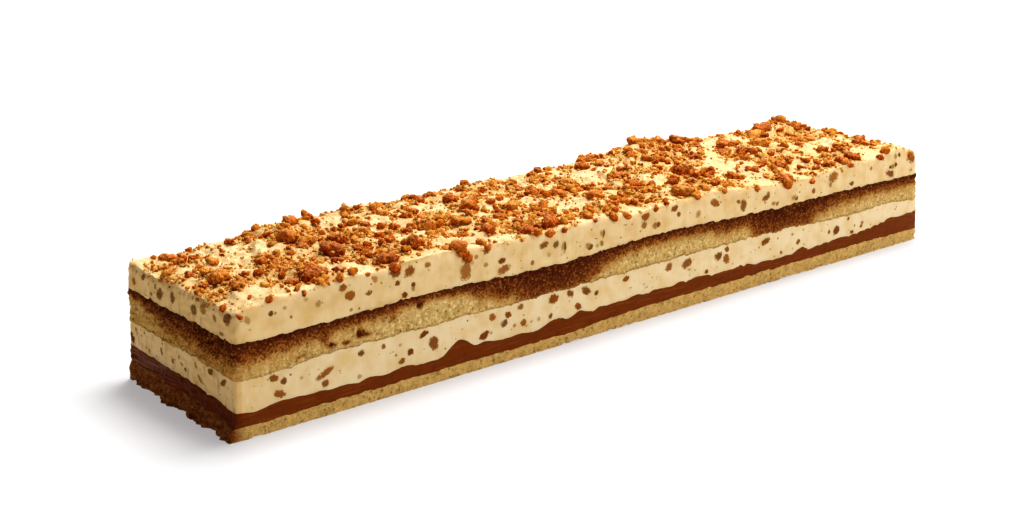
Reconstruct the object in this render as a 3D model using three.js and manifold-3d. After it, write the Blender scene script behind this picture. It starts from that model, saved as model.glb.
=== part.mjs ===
// Bavarois strip cake: five layers cut square through, with baked crumbs strewn
// over the cream. Millimetres. X runs along the strip, Y across it and Z is up.
// The cake stands on Z = 0 and its near end is at low X.
import * as THREE from 'three';
import { mergeVertices } from 'three/addons/utils/BufferGeometryUtils.js';
import Module from 'manifold-3d';

const wasm = await Module();
wasm.setup();
const { Manifold, Mesh: SolidMesh } = wasm;

// ---------------------------------------------------------------- driving sizes
const LENGTH = 390;            // a 400 mm sheet less its two trimmed ends
const WIDTH = 80;              // a 600 mm sheet makes seven and a half strips
const FRONT_Y = -WIDTH / 2;
const BACK_Y = WIDTH / 2;
const NEAR_X = -LENGTH / 2;

const LAYER_ROWS = 4;          // facets across the strip, inside the cake
const TOP_COLUMNS = 64;        // facets along and across the top of the cream
const TOP_ROWS = 11;

const SWELL = { at: 262, y: 34, along: 32, across: 22, rise: 3 };
const HEAP = { at: 371, y: 30, along: 12, across: 11, rise: 0.7 };
const SWOOP = 0.8;             // height of the palette-knife waves in the cream

const CRUMB_COUNT = 148;       // crumbs large enough to be solids
const CRUMB_ROUGHNESS = 0.2;   // how far a corner leaves the round form
const CRUMB_SINK = 0.06;       // of its width, how far its middle is over the cream
const CRUMB_FLATNESS = 0.78;   // height for width
const LARGE_CRUMB = 6.8;       // crumbs this wide have the finer facets
const SEED = 20;

// Heights of each boundary as the cuts show them: [distance from the near end, height].
const BASE_TOP = {
  front: [[0, 4.8], [91, 4.8], [160, 4.3], [167, 5.3], [192, 6], [259, 6.2], [344, 6.4],
    [LENGTH, 5.6]],
  back: [[0, 8], [40, 6.2], [LENGTH, 5.6]],
};
const GANACHE_TOP = {
  front: [[0, 10.2], [5, 9.3], [12, 10.2], [30, 10.2], [38, 9.3], [61, 9.2], [73, 9.8],
    [83, 9.2], [89, 9.8], [93, 12.7], [97, 14.3], [100, 12.7], [103, 10.6], [115, 10.1],
    [137, 9.5], [143, 10.6], [149, 11.8], [152, 10.6], [160, 12], [165, 10.8],
    [190, 11.8], [232, 12.1], [246, 11.2], [259, 12], [271, 10.6], [294, 10.3],
    [299, 12], [303, 12.4], [306, 10.6], [329, 12], [339, 11.4], [360, 13],
    [370, 14.7], [376, 13.9], [LENGTH, 15]],
  back: [[0, 13.8], [60, 11.6], [150, 12.6], [240, 11], [330, 12.4], [LENGTH, 13.4]],
};
const LOWER_CREAM_TOP = {
  front: [[0, 21.7], [20, 22], [30, 23.3], [75, 23.4], [130, 23.4], [195, 23.8],
    [260, 24.2], [279, 23.7], [294, 24.2], [304, 23.3], [324, 22.4], [349, 22.2],
    [367, 23.3], [375, 22.2], [LENGTH, 21]],
  back: [[0, 23.5], [130, 23], [260, 23.9], [LENGTH, 22.5]],
};
const SPONGE_TOP = {
  front: [[0, 35.2], [40, 35.2], [61, 36], [84, 36.6], [101, 36], [130, 35.2],
    [147, 34.9], [167, 35.6], [192, 36.8], [208, 37.1], [228, 36.6], [248, 36],
    [284, 34.8], [304, 35.3], [334, 35.3], [355, 35], [LENGTH, 34.3]],
  back: [[0, 36.5], [120, 35.5], [240, 36.4], [LENGTH, 35]],
};
const CREAM_TOP = {
  front: [[0, 46.2], [10, 48], [15, 49.3], [30, 48.7], [45, 50.3], [61, 49.5], [71, 50.4],
    [86, 51.3], [101, 50.4], [111, 49], [126, 50], [142, 49], [172, 50], [195, 48.2],
    [208, 49], [238, 50], [258, 48.5], [278, 46.2], [304, 45.6], [329, 47.5],
    [355, 47.6], [375, 49.6], [LENGTH, 46]],
  back: [[0, 46], [45, 47.5], [60, 50], [210, 50], [290, 51.5], [305, 50], [350, 50],
    [372, 50.6], [LENGTH, 47.5]],
};

// The knife pushed the lowest layers outwards at the ends: [near end, far end].
const END_PUSH = { bottom: [3.5, 3.8], base: [2, 3.4], ganache: [1, 2.8],
  lower: [0.8, 2.3], sponge: [0.4, 1.4], top: [-0.3, 0] };

// Crumbs that catch the eye: [distance from the near end, Y, width].
const PLACED_CRUMBS = [
  [57, 17, 11], [39, -29, 9.5], [60, -11, 9.5], [108, -5, 9.5], [85, -28, 8.5],
  [70, 1, 8.8], [68, -34, 8.6], [14, -6, 7.7], [15, -20, 6.8], [68, 32, 7.4],
  [140, 8, 8.8], [135, -36, 8.2], [149, -33, 8.8], [98, -38, 7], [154, -3, 7.8],
  [186, 3, 7], [193, -13, 7], [174, 6, 6.9], [142, 22, 6.8], [227, -33, 9.2],
  [256, -6, 10], [222, 26, 7.2], [233, 35, 8], [265, 35, 7.4], [280, 35, 7.6],
  [291, 31, 8.6], [301, 9, 9], [309, 2, 8.2], [325, 8, 8.6], [342, 25, 9],
  [352, 30, 10.5], [372, 34, 9], [368, 20, 7], [290, -37, 8.4], [270, -25, 7.4],
  [305, -22, 6.9], [384, -8, 7], [336, -34, 7], [15, 34, 6.5], [133, -3, 6.4],
  [122, -8, 6.3], [201, 14, 6.4], [221, -8, 6.7], [224, 4, 5.8], [271, 12, 6.1],
  [312, 17, 9.8], [327, -33, 6], [344, -34, 7.2], [382, -20, 5.4], [344, -16, 5.6],
  [156, -22, 5.3], [138, -15, 5.8], [49, 31, 4.7], [56, 5, 5], [106, 22, 5.3],
  [119, 2, 5.2], [35, -12, 4.8], [266, -12, 5.9], [285, -22, 5.3], [142, 33, 4.9],
  [253, 14, 5.4], [151, 18, 4.9], [299, 31, 7.2], [318, -33, 4.4], [372, -25, 5.3],
  [377, -13, 6.1], [273, 25, 5.3],
];

// Where the cream lies bare: [distance from the near end, Y, half length, half width].
const BARE_PATCHES = [
  [16, -33, 15, 8], [52, -36, 9, 6], [104, -28, 8, 9], [183, -16, 20, 9],
  [211, 10, 7, 9], [314, 20, 15, 10], [346, -8, 10, 8], [28, 30, 10, 7],
];

// ------------------------------------------------------------------ small helpers
let draw = SEED;
function random() {
  draw = (Math.imul(draw, 1664525) + 1013904223) >>> 0;
  return draw / 4294967296;
}

function between(low, high) {
  return low + (high - low) * random();
}

// Straight-line reading of a list of [distance, height].
function read(profile, s) {
  const next = profile.findIndex(([at]) => at >= s);
  if (next <= 0) return profile[0][1];
  const [s0, z0] = profile[next - 1];
  const [s1, z1] = profile[next];
  return z0 + (z1 - z0) * (s - s0) / (s1 - s0);
}

// Height of a boundary anywhere in the cake, eased from the front cut to the back cut.
function boundary(profiles, s, y) {
  const front = (BACK_Y - y) / WIDTH;
  const ease = front * front;
  return ease * read(profiles.front, s) + (1 - ease) * read(profiles.back, s);
}

function mound({ at, y: middle, along, across, rise }, s, y) {
  return rise * Math.exp(-(((s - at) / along) ** 2) - ((y - middle) / across) ** 2);
}

// The spread top of the cream: knife waves that die out at the cut front edge.
function creamHeight(s, y) {
  const inward = Math.min(1, (y - FRONT_Y) / 10);
  const wave = Math.sin(s / 11 + 1.3 * Math.sin(y / 9)) * Math.cos(y / 13 + s / 37)
    + 0.5 * Math.sin(s / 5.3 - y / 7);
  return boundary(CREAM_TOP, s, y) + SWOOP * inward * wave
    + mound(SWELL, s, y) + mound(HEAP, s, y);
}

// ------------------------------------------------------------------- layer solids
function evenly(low, high, parts) {
  return Array.from({ length: parts + 1 }, (_, i) => low + (high - low) * i / parts);
}

// A sheet of points over the strip, rows[j][i], whose two end columns are pushed out
// most at the front, where the knife came down last.
function sheet(along, across, height, [nearPush, farPush]) {
  return across.map((y) => along.map((s, i) => {
    const lean = 0.7 + 0.3 * (BACK_Y - y) / WIDTH;
    const push = i === 0 ? -nearPush : i === along.length - 1 ? farPush : 0;
    return [NEAR_X + s + push * lean, y, height(s, y)];
  }));
}

function boundarySheet(profiles, push) {
  const along = profiles.front.map(([s]) => s);
  const height = (s, y) => boundary(profiles, s, y);
  return sheet(along, evenly(FRONT_Y, BACK_Y, LAYER_ROWS), height, push);
}

const SHEETS = {
  bottom: sheet([0, LENGTH], [FRONT_Y, BACK_Y], () => 0, END_PUSH.bottom),
  base: boundarySheet(BASE_TOP, END_PUSH.base),
  ganache: boundarySheet(GANACHE_TOP, END_PUSH.ganache),
  lower: boundarySheet(LOWER_CREAM_TOP, END_PUSH.lower),
  sponge: boundarySheet(SPONGE_TOP, END_PUSH.sponge),
  top: sheet(evenly(0, LENGTH, TOP_COLUMNS), evenly(FRONT_Y, BACK_Y, TOP_ROWS),
    creamHeight, END_PUSH.top),
};

// The closed layer between two sheets: both sheets, and a wall all the way round.
function layer(lower, upper) {
  const triangles = [];
  const add = (a, b, c) => triangles.push(...a, ...b, ...c);

  const spread = (rows, facesUp) => {
    for (let j = 0; j + 1 < rows.length; j++) {
      for (let i = 0; i + 1 < rows[j].length; i++) {
        const [a, b] = [rows[j][i], rows[j][i + 1]];
        const [d, c] = [rows[j + 1][i], rows[j + 1][i + 1]];
        if (facesUp) { add(a, b, c); add(a, c, d); } else { add(a, c, b); add(a, d, c); }
      }
    }
  };
  spread(upper, true);
  spread(lower, false);

  // A wall joins two edge lines that may have different numbers of points.
  const wall = (low, high) => {
    const share = (line, i) => i / (line.length - 1);
    const progress = (line, i) => line[i][axis] * sign;
    const axis = Math.abs(low[0][0] - low.at(-1)[0]) > WIDTH ? 0 : 1;
    const sign = low.at(-1)[axis] > low[0][axis] ? 1 : -1;
    let i = 0;
    let j = 0;
    while (i + 1 < low.length || j + 1 < high.length) {
      const takeLow = j + 1 === high.length || (i + 1 < low.length
        && (progress(low, i + 1) < progress(high, j + 1)
          || (progress(low, i + 1) === progress(high, j + 1)
            && share(low, i) <= share(high, j))));
      if (takeLow) { add(low[i], low[i + 1], high[j]); i++; }
      else { add(low[i], high[j + 1], high[j]); j++; }
    }
  };
  const side = (rows, i) => rows.map((row) => row.at(i));
  wall(lower[0], upper[0]);
  wall(side(lower, -1), side(upper, -1));
  wall([...lower.at(-1)].reverse(), [...upper.at(-1)].reverse());
  wall(side(lower, 0).reverse(), side(upper, 0).reverse());

  const geometry = new THREE.BufferGeometry();
  geometry.setAttribute('position', new THREE.Float32BufferAttribute(triangles, 3));
  return mergeVertices(geometry, 1e-4);
}

// ------------------------------------------------------------------------- crumbs
// Chance that the cream is covered at a place: low in the bare patches and at the rim.
function cover(s, y) {
  const bare = BARE_PATCHES.some(([at, middle, along, across]) =>
    ((s - at) / along) ** 2 + ((y - middle) / across) ** 2 < 1);
  const rim = Math.min(1, 0.35 + (y - FRONT_Y) / 22, 0.65 + s / 30);
  return bare ? 0.08 : rim;
}

// The placed crumbs, then smaller ones strewn between them, the largest first.
function strewCrumbs() {
  const crumbs = PLACED_CRUMBS.map(([s, y, width]) => ({ s, y, width }));
  while (crumbs.length < CRUMB_COUNT) {
    const share = crumbs.length / CRUMB_COUNT;
    const crumb = { s: between(4, LENGTH - 4), y: between(FRONT_Y + 3, BACK_Y - 3),
      width: (6.4 - 2.6 * share) * between(0.9, 1.1) };
    const clear = crumbs.every((other) => Math.hypot(other.s - crumb.s, other.y - crumb.y)
      > 0.62 * (other.width + crumb.width));
    if (clear && random() < cover(crumb.s, crumb.y)) crumbs.push(crumb);
  }
  return crumbs;
}

// A lump with uneven corners, wider than it is high, sunk into the cream.
function crumbGeometry({ s, y, width }) {
  const ball = new THREE.IcosahedronGeometry(width / 2, width >= LARGE_CRUMB ? 1 : 0);
  ball.deleteAttribute('normal');
  ball.deleteAttribute('uv');
  const lump = mergeVertices(ball, 1e-3);
  const corners = lump.getAttribute('position');
  for (let i = 0; i < corners.count; i++) {
    const swell = 1 + between(-CRUMB_ROUGHNESS, CRUMB_ROUGHNESS);
    corners.setXYZ(i, corners.getX(i) * swell, corners.getY(i) * swell,
      corners.getZ(i) * swell);
  }
  const stretch = between(0.85, 1.15);
  lump.scale(stretch, 1 / stretch, CRUMB_FLATNESS);
  lump.rotateZ(between(0, Math.PI));
  lump.translate(NEAR_X + s, y, creamHeight(s, y) + CRUMB_SINK * width);
  return lump;
}

// ------------------------------------------------------------------ joining solids
function toManifold(geometry) {
  return new Manifold(new SolidMesh({
    numProp: 3,
    vertProperties: new Float32Array(geometry.getAttribute('position').array),
    triVerts: new Uint32Array(geometry.index.array),
  }));
}

function toGeometry(solid) {
  const { vertProperties, triVerts } = solid.getMesh();
  const geometry = new THREE.BufferGeometry();
  geometry.setAttribute('position', new THREE.Float32BufferAttribute(vertProperties, 3));
  geometry.setIndex(Array.from(triVerts));
  return geometry;
}

// The crumbs become one body with the cream; a pocket shut in between them is filled.
function fuse(cream, crumbs) {
  const whole = Manifold.union([toManifold(cream), ...crumbs.map(toManifold)]);
  const pieces = whole.decompose().sort((a, b) => b.volume() - a.volume());
  return toGeometry(pieces[0].simplify(0.002));
}

// -------------------------------------------------------------------------- scene
function named(name, geometry, color, roughness) {
  geometry.computeVertexNormals();
  const material = new THREE.MeshStandardMaterial({ color, roughness, metalness: 0,
    flatShading: true });
  const mesh = new THREE.Mesh(geometry, material);
  mesh.name = name;
  return mesh;
}

const upperCream = fuse(layer(SHEETS.sponge, SHEETS.top),
  strewCrumbs().map(crumbGeometry));

const cake = new THREE.Group();
cake.name = 'bavarois_cake';
cake.add(
  named('base_sponge', layer(SHEETS.bottom, SHEETS.base), 0xdcb46a, 0.9),
  named('chocolate_ganache', layer(SHEETS.base, SHEETS.ganache), 0x7a3a1e, 0.45),
  named('lower_cream', layer(SHEETS.ganache, SHEETS.lower), 0xf3d9a8, 0.55),
  named('middle_sponge', layer(SHEETS.lower, SHEETS.sponge), 0xd9ae63, 0.9),
  named('upper_cream', upperCream, 0xf3d9a8, 0.55),
);

// The middle of the footprint is the origin, whatever the outermost crumbs do.
const middle = new THREE.Box3().setFromObject(cake).getCenter(new THREE.Vector3());
cake.position.set(-middle.x, -middle.y, 0);

export default cake;
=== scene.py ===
# %% [markdown]
# # A strip of bavarois cake
#
# The real thing is a bakery strip, 390 mm long and 80 mm wide, cut square from a
# sheet. From the board up it has a thin sponge base, a chocolate ganache, a cream
# with baked crumbs stirred in, a sponge whose top is soaked dark with syrup, and a
# second cream whose top is strewn with more crumbs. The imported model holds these
# five layers as plain solids. Here each one is modelled again with its cut faces,
# its pores and its colours, in the same place and in the same frame.

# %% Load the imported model
import math

import bmesh
import bpy
import numpy as np
from mathutils import Matrix, Vector
from mathutils.bvhtree import BVHTree


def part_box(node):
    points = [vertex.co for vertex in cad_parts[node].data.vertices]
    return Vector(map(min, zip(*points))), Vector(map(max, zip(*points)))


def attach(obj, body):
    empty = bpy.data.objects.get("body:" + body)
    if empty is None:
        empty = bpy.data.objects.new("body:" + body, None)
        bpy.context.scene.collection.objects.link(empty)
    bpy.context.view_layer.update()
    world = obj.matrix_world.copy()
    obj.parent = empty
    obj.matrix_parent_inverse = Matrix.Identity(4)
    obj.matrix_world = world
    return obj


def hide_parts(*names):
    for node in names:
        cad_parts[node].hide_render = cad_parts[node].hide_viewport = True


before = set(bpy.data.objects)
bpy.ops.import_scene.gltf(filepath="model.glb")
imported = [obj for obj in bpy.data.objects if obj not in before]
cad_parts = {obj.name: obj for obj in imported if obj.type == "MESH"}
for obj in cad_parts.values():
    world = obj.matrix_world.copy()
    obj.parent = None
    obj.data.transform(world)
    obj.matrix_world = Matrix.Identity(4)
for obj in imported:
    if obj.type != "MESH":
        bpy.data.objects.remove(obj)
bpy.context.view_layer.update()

print("nodes:", sorted(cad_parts))

# %% [markdown]
# Sizes are in millimetres, as a baker would read them, and MM turns them into
# Blender's metres once, when a piece is finished. The strip is described by how far
# along it a point lies from the near end, and by Y across it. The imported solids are
# centred on their own box, so one node tells how far that centring moved them.

# %% The strip's sizes and its place in the frame
MM = 0.001
LENGTH = 390.0
WIDTH = 80.0
FRONT_Y, BACK_Y = -WIDTH / 2, WIDTH / 2
END_PUSH = {"bottom": (3.5, 3.8), "base": (2.0, 3.4), "ganache": (1.0, 2.8),
            "lower": (0.8, 2.3), "sponge": (0.4, 1.4), "top": (-0.3, 0.0)}

base_low, base_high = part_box("base_sponge")
ORIGIN = np.array([base_low[0] / MM + END_PUSH["bottom"][0],
                   base_low[1] / MM + WIDTH / 2, 0.0])
print("near front corner at", ORIGIN.round(2), "mm")

# %% [markdown]
# Each boundary between two layers was spread by hand, so it waves. Its height is
# read off the front cut and off the back, as a short list of points, and between
# the two cuts one eases into the other. Layers that touch share the same boundary,
# which is why neither gaps nor overlaps show between them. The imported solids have
# these same lists. What is added here is finer: every boundary is a little ragged,
# and the ganache and the lower cream were spread with a trowel that left scallops.

# %% The boundaries between the layers, as (distance from the near end, height)
BOUNDARIES = {
    "base": (
        [(0, 4.8), (91, 4.8), (160, 4.3), (167, 5.3), (192, 6), (259, 6.2), (344, 6.4),
         (390, 5.6)],
        [(0, 8), (40, 6.2), (390, 5.6)]),
    "ganache": (
        [(0, 10.2), (5, 9.3), (12, 10.2), (30, 10.2), (38, 9.3), (61, 9.2), (73, 9.8),
         (83, 9.2), (89, 9.8), (93, 12.7), (97, 14.3), (100, 12.7), (103, 10.6),
         (115, 10.1), (137, 9.5), (143, 10.6), (149, 11.8), (152, 10.6), (160, 12),
         (165, 10.8), (190, 11.8), (232, 12.1), (246, 11.2), (259, 12), (271, 10.6),
         (294, 10.3), (299, 12), (303, 12.4), (306, 10.6), (329, 12), (339, 11.4),
         (360, 13), (370, 14.7), (376, 13.9), (390, 15)],
        [(0, 13.8), (60, 11.6), (150, 12.6), (240, 11), (330, 12.4), (390, 13.4)]),
    "lower": (
        [(0, 21.7), (20, 22), (30, 23.3), (75, 23.4), (130, 23.4), (195, 23.8),
         (260, 24.2), (279, 23.7), (294, 24.2), (304, 23.3), (324, 22.4), (349, 22.2),
         (367, 23.3), (375, 22.2), (390, 21)],
        [(0, 23.5), (130, 23), (260, 23.9), (390, 22.5)]),
    "sponge": (
        [(0, 35.2), (40, 35.2), (61, 36), (84, 36.6), (101, 36), (130, 35.2),
         (147, 34.9), (167, 35.6), (192, 36.8), (208, 37.1), (228, 36.6), (248, 36),
         (284, 34.8), (304, 35.3), (334, 35.3), (355, 35), (390, 34.3)],
        [(0, 36.5), (120, 35.5), (240, 36.4), (390, 35)]),
    "top": (
        [(0, 46.2), (10, 48), (15, 49.3), (30, 48.7), (45, 50.3), (61, 49.5), (71, 50.4),
         (86, 51.3), (101, 50.4), (111, 49), (126, 50), (142, 49), (172, 50),
         (195, 48.2), (208, 49), (238, 50), (258, 48.5), (278, 46.2), (304, 45.6),
         (329, 47.5), (355, 47.6), (375, 49.6), (390, 46)],
        [(0, 46), (45, 47.5), (60, 50), (210, 50), (290, 51.5), (305, 50), (350, 50),
         (372, 50.6), (390, 47.5)]),
}
SWELL = dict(at=262, y=34, along=32, across=22, rise=3.0)
HEAP = dict(at=371, y=30, along=12, across=11, rise=0.7)
KINK = 1.5         # how softly a boundary bends at a listed point
SWOOP = 0.8        # height of the palette knife's waves in the top
RAGGED = {"base": 0.5, "ganache": 0.25, "lower": 0.55, "sponge": 0.6, "top": 0.6}
SCALLOP = {"ganache": 1.1, "lower": 0.5}
SCALLOP_SIZE, SCALLOP_MEAN = 5.5, 0.25


def read(profile, s):
    """The height on a cut face: straight between the listed points, with soft kinks."""
    at, height = zip(*profile)
    return (np.interp(s - KINK, at, height) + 2 * np.interp(s, at, height)
            + np.interp(s + KINK, at, height)) / 4


def ripple(s, y, size, seed):
    """Smooth random waves over the strip, about size mm across, between -1 and 1."""
    lattice = np.random.default_rng(seed).uniform(
        -1, 1, (int(LENGTH / size) + 4, int(WIDTH / size) + 4))
    a = np.clip(s / size + 1, 0, lattice.shape[0] - 2)
    b = np.clip((y - FRONT_Y) / size + 1, 0, lattice.shape[1] - 2)
    i, j = a.astype(int), b.astype(int)
    u, v = a - i, b - j
    u, v = u * u * (3 - 2 * u), v * v * (3 - 2 * v)
    return ((lattice[i, j] * (1 - u) + lattice[i + 1, j] * u) * (1 - v)
            + (lattice[i, j + 1] * (1 - u) + lattice[i + 1, j + 1] * u) * v)


def mound(shape, s, y):
    """A soft round rise in the cream."""
    return shape["rise"] * np.exp(-((s - shape["at"]) / shape["along"]) ** 2
                                  - ((y - shape["y"]) / shape["across"]) ** 2)


# Ridges that the palette knife left: (distance and Y of both ends, height).
RIDGE_STEEP, RIDGE_DRAWN = 1.3, 3.4
RIDGES = [
    (10, -28, 28, -19, 1.3), (28, -19, 40, -23, 1.2), (46, 23, 40, 10, 1.0),
    (98, -28, 122, -29, 1.4), (125, -18, 134, -18, 0.9), (182, -10, 188, -12, 1.0),
    (188, -12, 186, -26, 1.0), (222, 15, 210, -13, 1.5), (147, -17, 152, -18, 0.8),
    (285, -11, 283, -20, 1.0), (352, 17, 375, 22, 1.7), (363, -1, 350, -25, 1.2),
    (331, 4, 323, -14, 1.3), (176, 38, 172, 22, 1.0), (70, 30, 95, 24, 1.1),
    (255, 28, 238, 12, 1.2), (4, 12, 30, 22, 1.0), (120, 30, 150, 26, 1.0),
]


def knife_ridge(ridge, s, y):
    """A low ridge, steep on one side and drawn out on the other, where the knife left."""
    s0, y0, s1, y1, rise = ridge
    run, over = s1 - s0, y1 - y0
    length = math.hypot(run, over)
    along = np.clip(((s - s0) * run + (y - y0) * over) / length ** 2, 0, 1)
    away = np.hypot(s - s0 - along * run, y - y0 - along * over)
    side = (s - s0) * over - (y - y0) * run
    return rise * np.exp(-(away / np.where(side > 0, RIDGE_STEEP, RIDGE_DRAWN)) ** 2)


def boundary(name, s, y):
    """The height of a boundary anywhere in the cake; the board is at 0."""
    if name == "bottom":
        return np.zeros_like(s)
    front, back = BOUNDARIES[name]
    ease = ((BACK_Y - y) / WIDTH) ** 2
    height = ease * read(front, s) + (1 - ease) * read(back, s)
    height += RAGGED[name] * (0.6 * ripple(s, y, 2.9, 51) + 0.4 * ripple(s, y, 1.3, 52))
    scallop = np.abs(ripple(s, y, SCALLOP_SIZE, 53)) - SCALLOP_MEAN
    height += SCALLOP.get(name, 0) * scallop * np.clip(0.3 + s / 12, 0.3, 1)
    if name == "top":
        inward = np.clip((y - FRONT_Y) / 10, 0, 1)
        wave = (np.sin(s / 11 + 1.3 * np.sin(y / 9)) * np.cos(y / 13 + s / 37)
                + 0.5 * np.sin(s / 5.3 - y / 7))
        height += SWOOP * inward * wave + mound(SWELL, s, y) + mound(HEAP, s, y)
        height += inward * sum(knife_ridge(ridge, s, y) for ridge in RIDGES)
    return height


print("cream top in the middle of the strip:",
      boundary("top", np.array([195.0]), np.array([0.0])).round(1), "mm")

# %% [markdown]
# Every layer is a slab with four cut faces. By hand one would lay down a grid,
# extrude it upwards and then cut only the faces that show into finer ones. The
# faces hidden between two layers stay coarse, so the detail goes where it is seen.

# %% Small helpers for modelling by hand
def start_clean():
    """Nothing selected and in object mode, since an operator acts on what is selected."""
    if bpy.context.mode != "OBJECT":
        bpy.ops.object.mode_set(mode="OBJECT")
    bpy.ops.object.select_all(action="DESELECT")


def select_faces(test):
    """In edit mode, selects the faces whose centre and normal pass the test."""
    bpy.ops.mesh.select_mode(type="FACE")
    bpy.ops.mesh.select_all(action="DESELECT")
    mesh = bpy.context.edit_object.data
    shape = bmesh.from_edit_mesh(mesh)
    for face in shape.faces:
        face.select_set(test(face.calc_center_median(), face.normal))
    bmesh.update_edit_mesh(mesh)


def points_of(piece):
    """All the corners of a mesh as an array."""
    flat = np.empty(len(piece.data.vertices) * 3)
    piece.data.vertices.foreach_get("co", flat)
    return flat.reshape(-1, 3)


def move_points(piece, points):
    """Puts the corners of a mesh in new places."""
    piece.data.vertices.foreach_set("co", points.ravel())
    piece.data.update()


def group_points(piece, name, weights):
    """A vertex group with a weight between 0 and 1 for every corner."""
    group = piece.vertex_groups.new(name=name)
    for level in np.unique(np.round(weights, 1)):
        if level > 0:
            chosen = np.nonzero(np.round(weights, 1) == level)[0]
            group.add(chosen.tolist(), float(level), "REPLACE")


def push_out(piece, name, kind, size, depth, group, **settings):
    """One layer of relief: a procedural texture that moves the skin along its normal."""
    texture = bpy.data.textures.new(name, kind)
    texture.noise_scale = size * MM
    for key, value in settings.items():
        setattr(texture, key, value)
    modifier = piece.modifiers.new(name, "DISPLACE")
    modifier.texture = texture
    modifier.texture_coords = "LOCAL"
    modifier.strength = depth * MM
    modifier.mid_level = 0.5
    modifier.vertex_group = group
    bpy.context.view_layer.objects.active = piece
    bpy.ops.object.modifier_apply(modifier=name)


# %% [markdown]
# No knife leaves a perfect box. The upright corners are worn round, most at the top,
# the lowest layers were pushed out a little and unevenly at the ends, where the knife
# also tore small teeth, and the rim of the top cream rolls over in a small lip. The
# grid is modelled as a flat slab, and its corners are then moved to all of this at
# once, which is quicker than to lay every wave by hand.

# %% The slab between two boundaries
CELLS_ALONG, CELLS_ACROSS = 49, 10
CORNER = {"bottom": 0.8, "base": 0.9, "ganache": 1.3, "lower": 1.8, "sponge": 2.3,
          "top": 3.4}
LIP_WIDTH, LIP_DROP, LIP_TUCK = 1.7, 0.8, 0.6
LEAN_AT_BACK = 0.7
END_TEETH = {"bottom": 0.8, "base": 0.6, "ganache": 0.4, "lower": 0.8, "sponge": 0.4}


def round_corners(s, y, radius):
    """Draws the square corners of the strip in to arcs of the given radius."""
    to_end = np.clip(1 - np.minimum(s, LENGTH - s) / radius, 0, 1)
    to_side = np.clip(1 - (WIDTH / 2 - np.abs(y)) / radius, 0, 1)
    both = np.hypot(to_end, to_side)
    shrink = radius * (1 - np.maximum(to_end, to_side) / np.where(both > 0, both, 1))
    return (s + to_end * shrink * np.sign(LENGTH / 2 - s),
            y - to_side * shrink * np.sign(y))


def cut_slab(name, lower, upper, cuts, fine_top=False):
    """A slab with finely divided cut faces, bent to the two boundaries."""
    start_clean()
    bpy.ops.mesh.primitive_grid_add(x_subdivisions=CELLS_ALONG,
                                    y_subdivisions=CELLS_ACROSS, size=1)
    piece = bpy.context.object
    piece.name = piece.data.name = name
    bpy.ops.object.mode_set(mode="EDIT")
    bpy.ops.mesh.select_all(action="SELECT")
    bpy.ops.transform.resize(value=(LENGTH, WIDTH, 1))
    bpy.ops.mesh.extrude_region_move(TRANSFORM_OT_translate={"value": (0, 0, 1)})
    bpy.ops.mesh.select_all(action="SELECT")
    bpy.ops.mesh.normals_make_consistent(inside=False)
    select_faces(lambda centre, normal: abs(normal.z) < 0.5
                 or (fine_top and normal.z > 0.5))
    bpy.ops.mesh.subdivide(number_cuts=cuts)
    bpy.ops.object.mode_set(mode="OBJECT")

    points = points_of(piece)
    s, y, share = points[:, 0] + LENGTH / 2, points[:, 1].copy(), points[:, 2].copy()
    on_near, on_far = s < 1e-3, s > LENGTH - 1e-3
    on_side = np.abs(np.abs(y) - WIDTH / 2) < 1e-3
    rim = np.minimum(np.minimum(s, LENGTH - s), WIDTH / 2 - np.abs(y))
    lean = LEAN_AT_BACK + (1 - LEAN_AT_BACK) * (BACK_Y - y) / WIDTH
    uneven = 1 + 0.45 * ripple(s, y, 5.0, 61) + 0.25 * ripple(s, y, 2.0, 62)
    near = (END_PUSH[lower][0] * (1 - share) + END_PUSH[upper][0] * share) * uneven
    far = END_PUSH[lower][1] * (1 - share) + END_PUSH[upper][1] * share
    top = boundary(upper, s, y)
    up = boundary(lower, s, y) * (1 - share) + top * share
    teeth = END_TEETH[lower] * (0.7 * ripple(3 * up, y, 4.0, 66)
                                + 0.5 * ripple(3 * up, y, 1.9, 67))
    near, far = near + teeth, far + teeth
    tuck = 0
    if fine_top:
        top -= LIP_DROP * (1 + 0.5 * ripple(s, y, 4.0, 63)) * np.clip(
            1 - rim / LIP_WIDTH, 0, 1) ** 2
        tuck = LIP_TUCK * (1 + 0.7 * ripple(s, y, 3.0, 64)) * np.clip(
            share * 5 - 4, 0, 1) ** 2
    radius = CORNER[lower] * (1 - share) + CORNER[upper] * share
    round_s, round_y = round_corners(s, y, radius)
    points[:, 0] = round_s + lean * (far * on_far - near * on_near) + tuck * (
        on_near.astype(float) - on_far)
    points[:, 1] = round_y - tuck * on_side * np.sign(y)
    points[:, 2] = boundary(lower, s, y) * (1 - share) + top * share
    move_points(piece, (points + ORIGIN) * MM)

    group_points(piece, "cut_faces", (on_near | on_far | on_side).astype(float))
    group_points(piece, "top_face", (share > 0.999) * np.clip(rim / 5, 0, 1))
    print(name, len(piece.data.polygons), "faces")
    return piece


def place_of(piece):
    """Distance from the near end, Y across the strip and height of every corner, in mm."""
    points = points_of(piece) / MM - ORIGIN
    return points[:, 0], points[:, 1], points[:, 2]


def finish_layer(piece, node, angle=50):
    """Smooth but for its cut edges, and shown in place of the plain solid."""
    start_clean()
    piece.select_set(True)
    bpy.context.view_layer.objects.active = piece
    bpy.ops.object.shade_smooth_by_angle(angle=math.radians(angle))
    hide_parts(node)
    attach(piece, "root")


# %% [markdown]
# The base is a thin baked sponge, dry at the front cut and dark with moisture at the
# near end. Its cut is crumbly, which is a coarse and a fine layer of relief, and in
# some stretches crumbs have broken out of its bottom edge.

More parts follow.
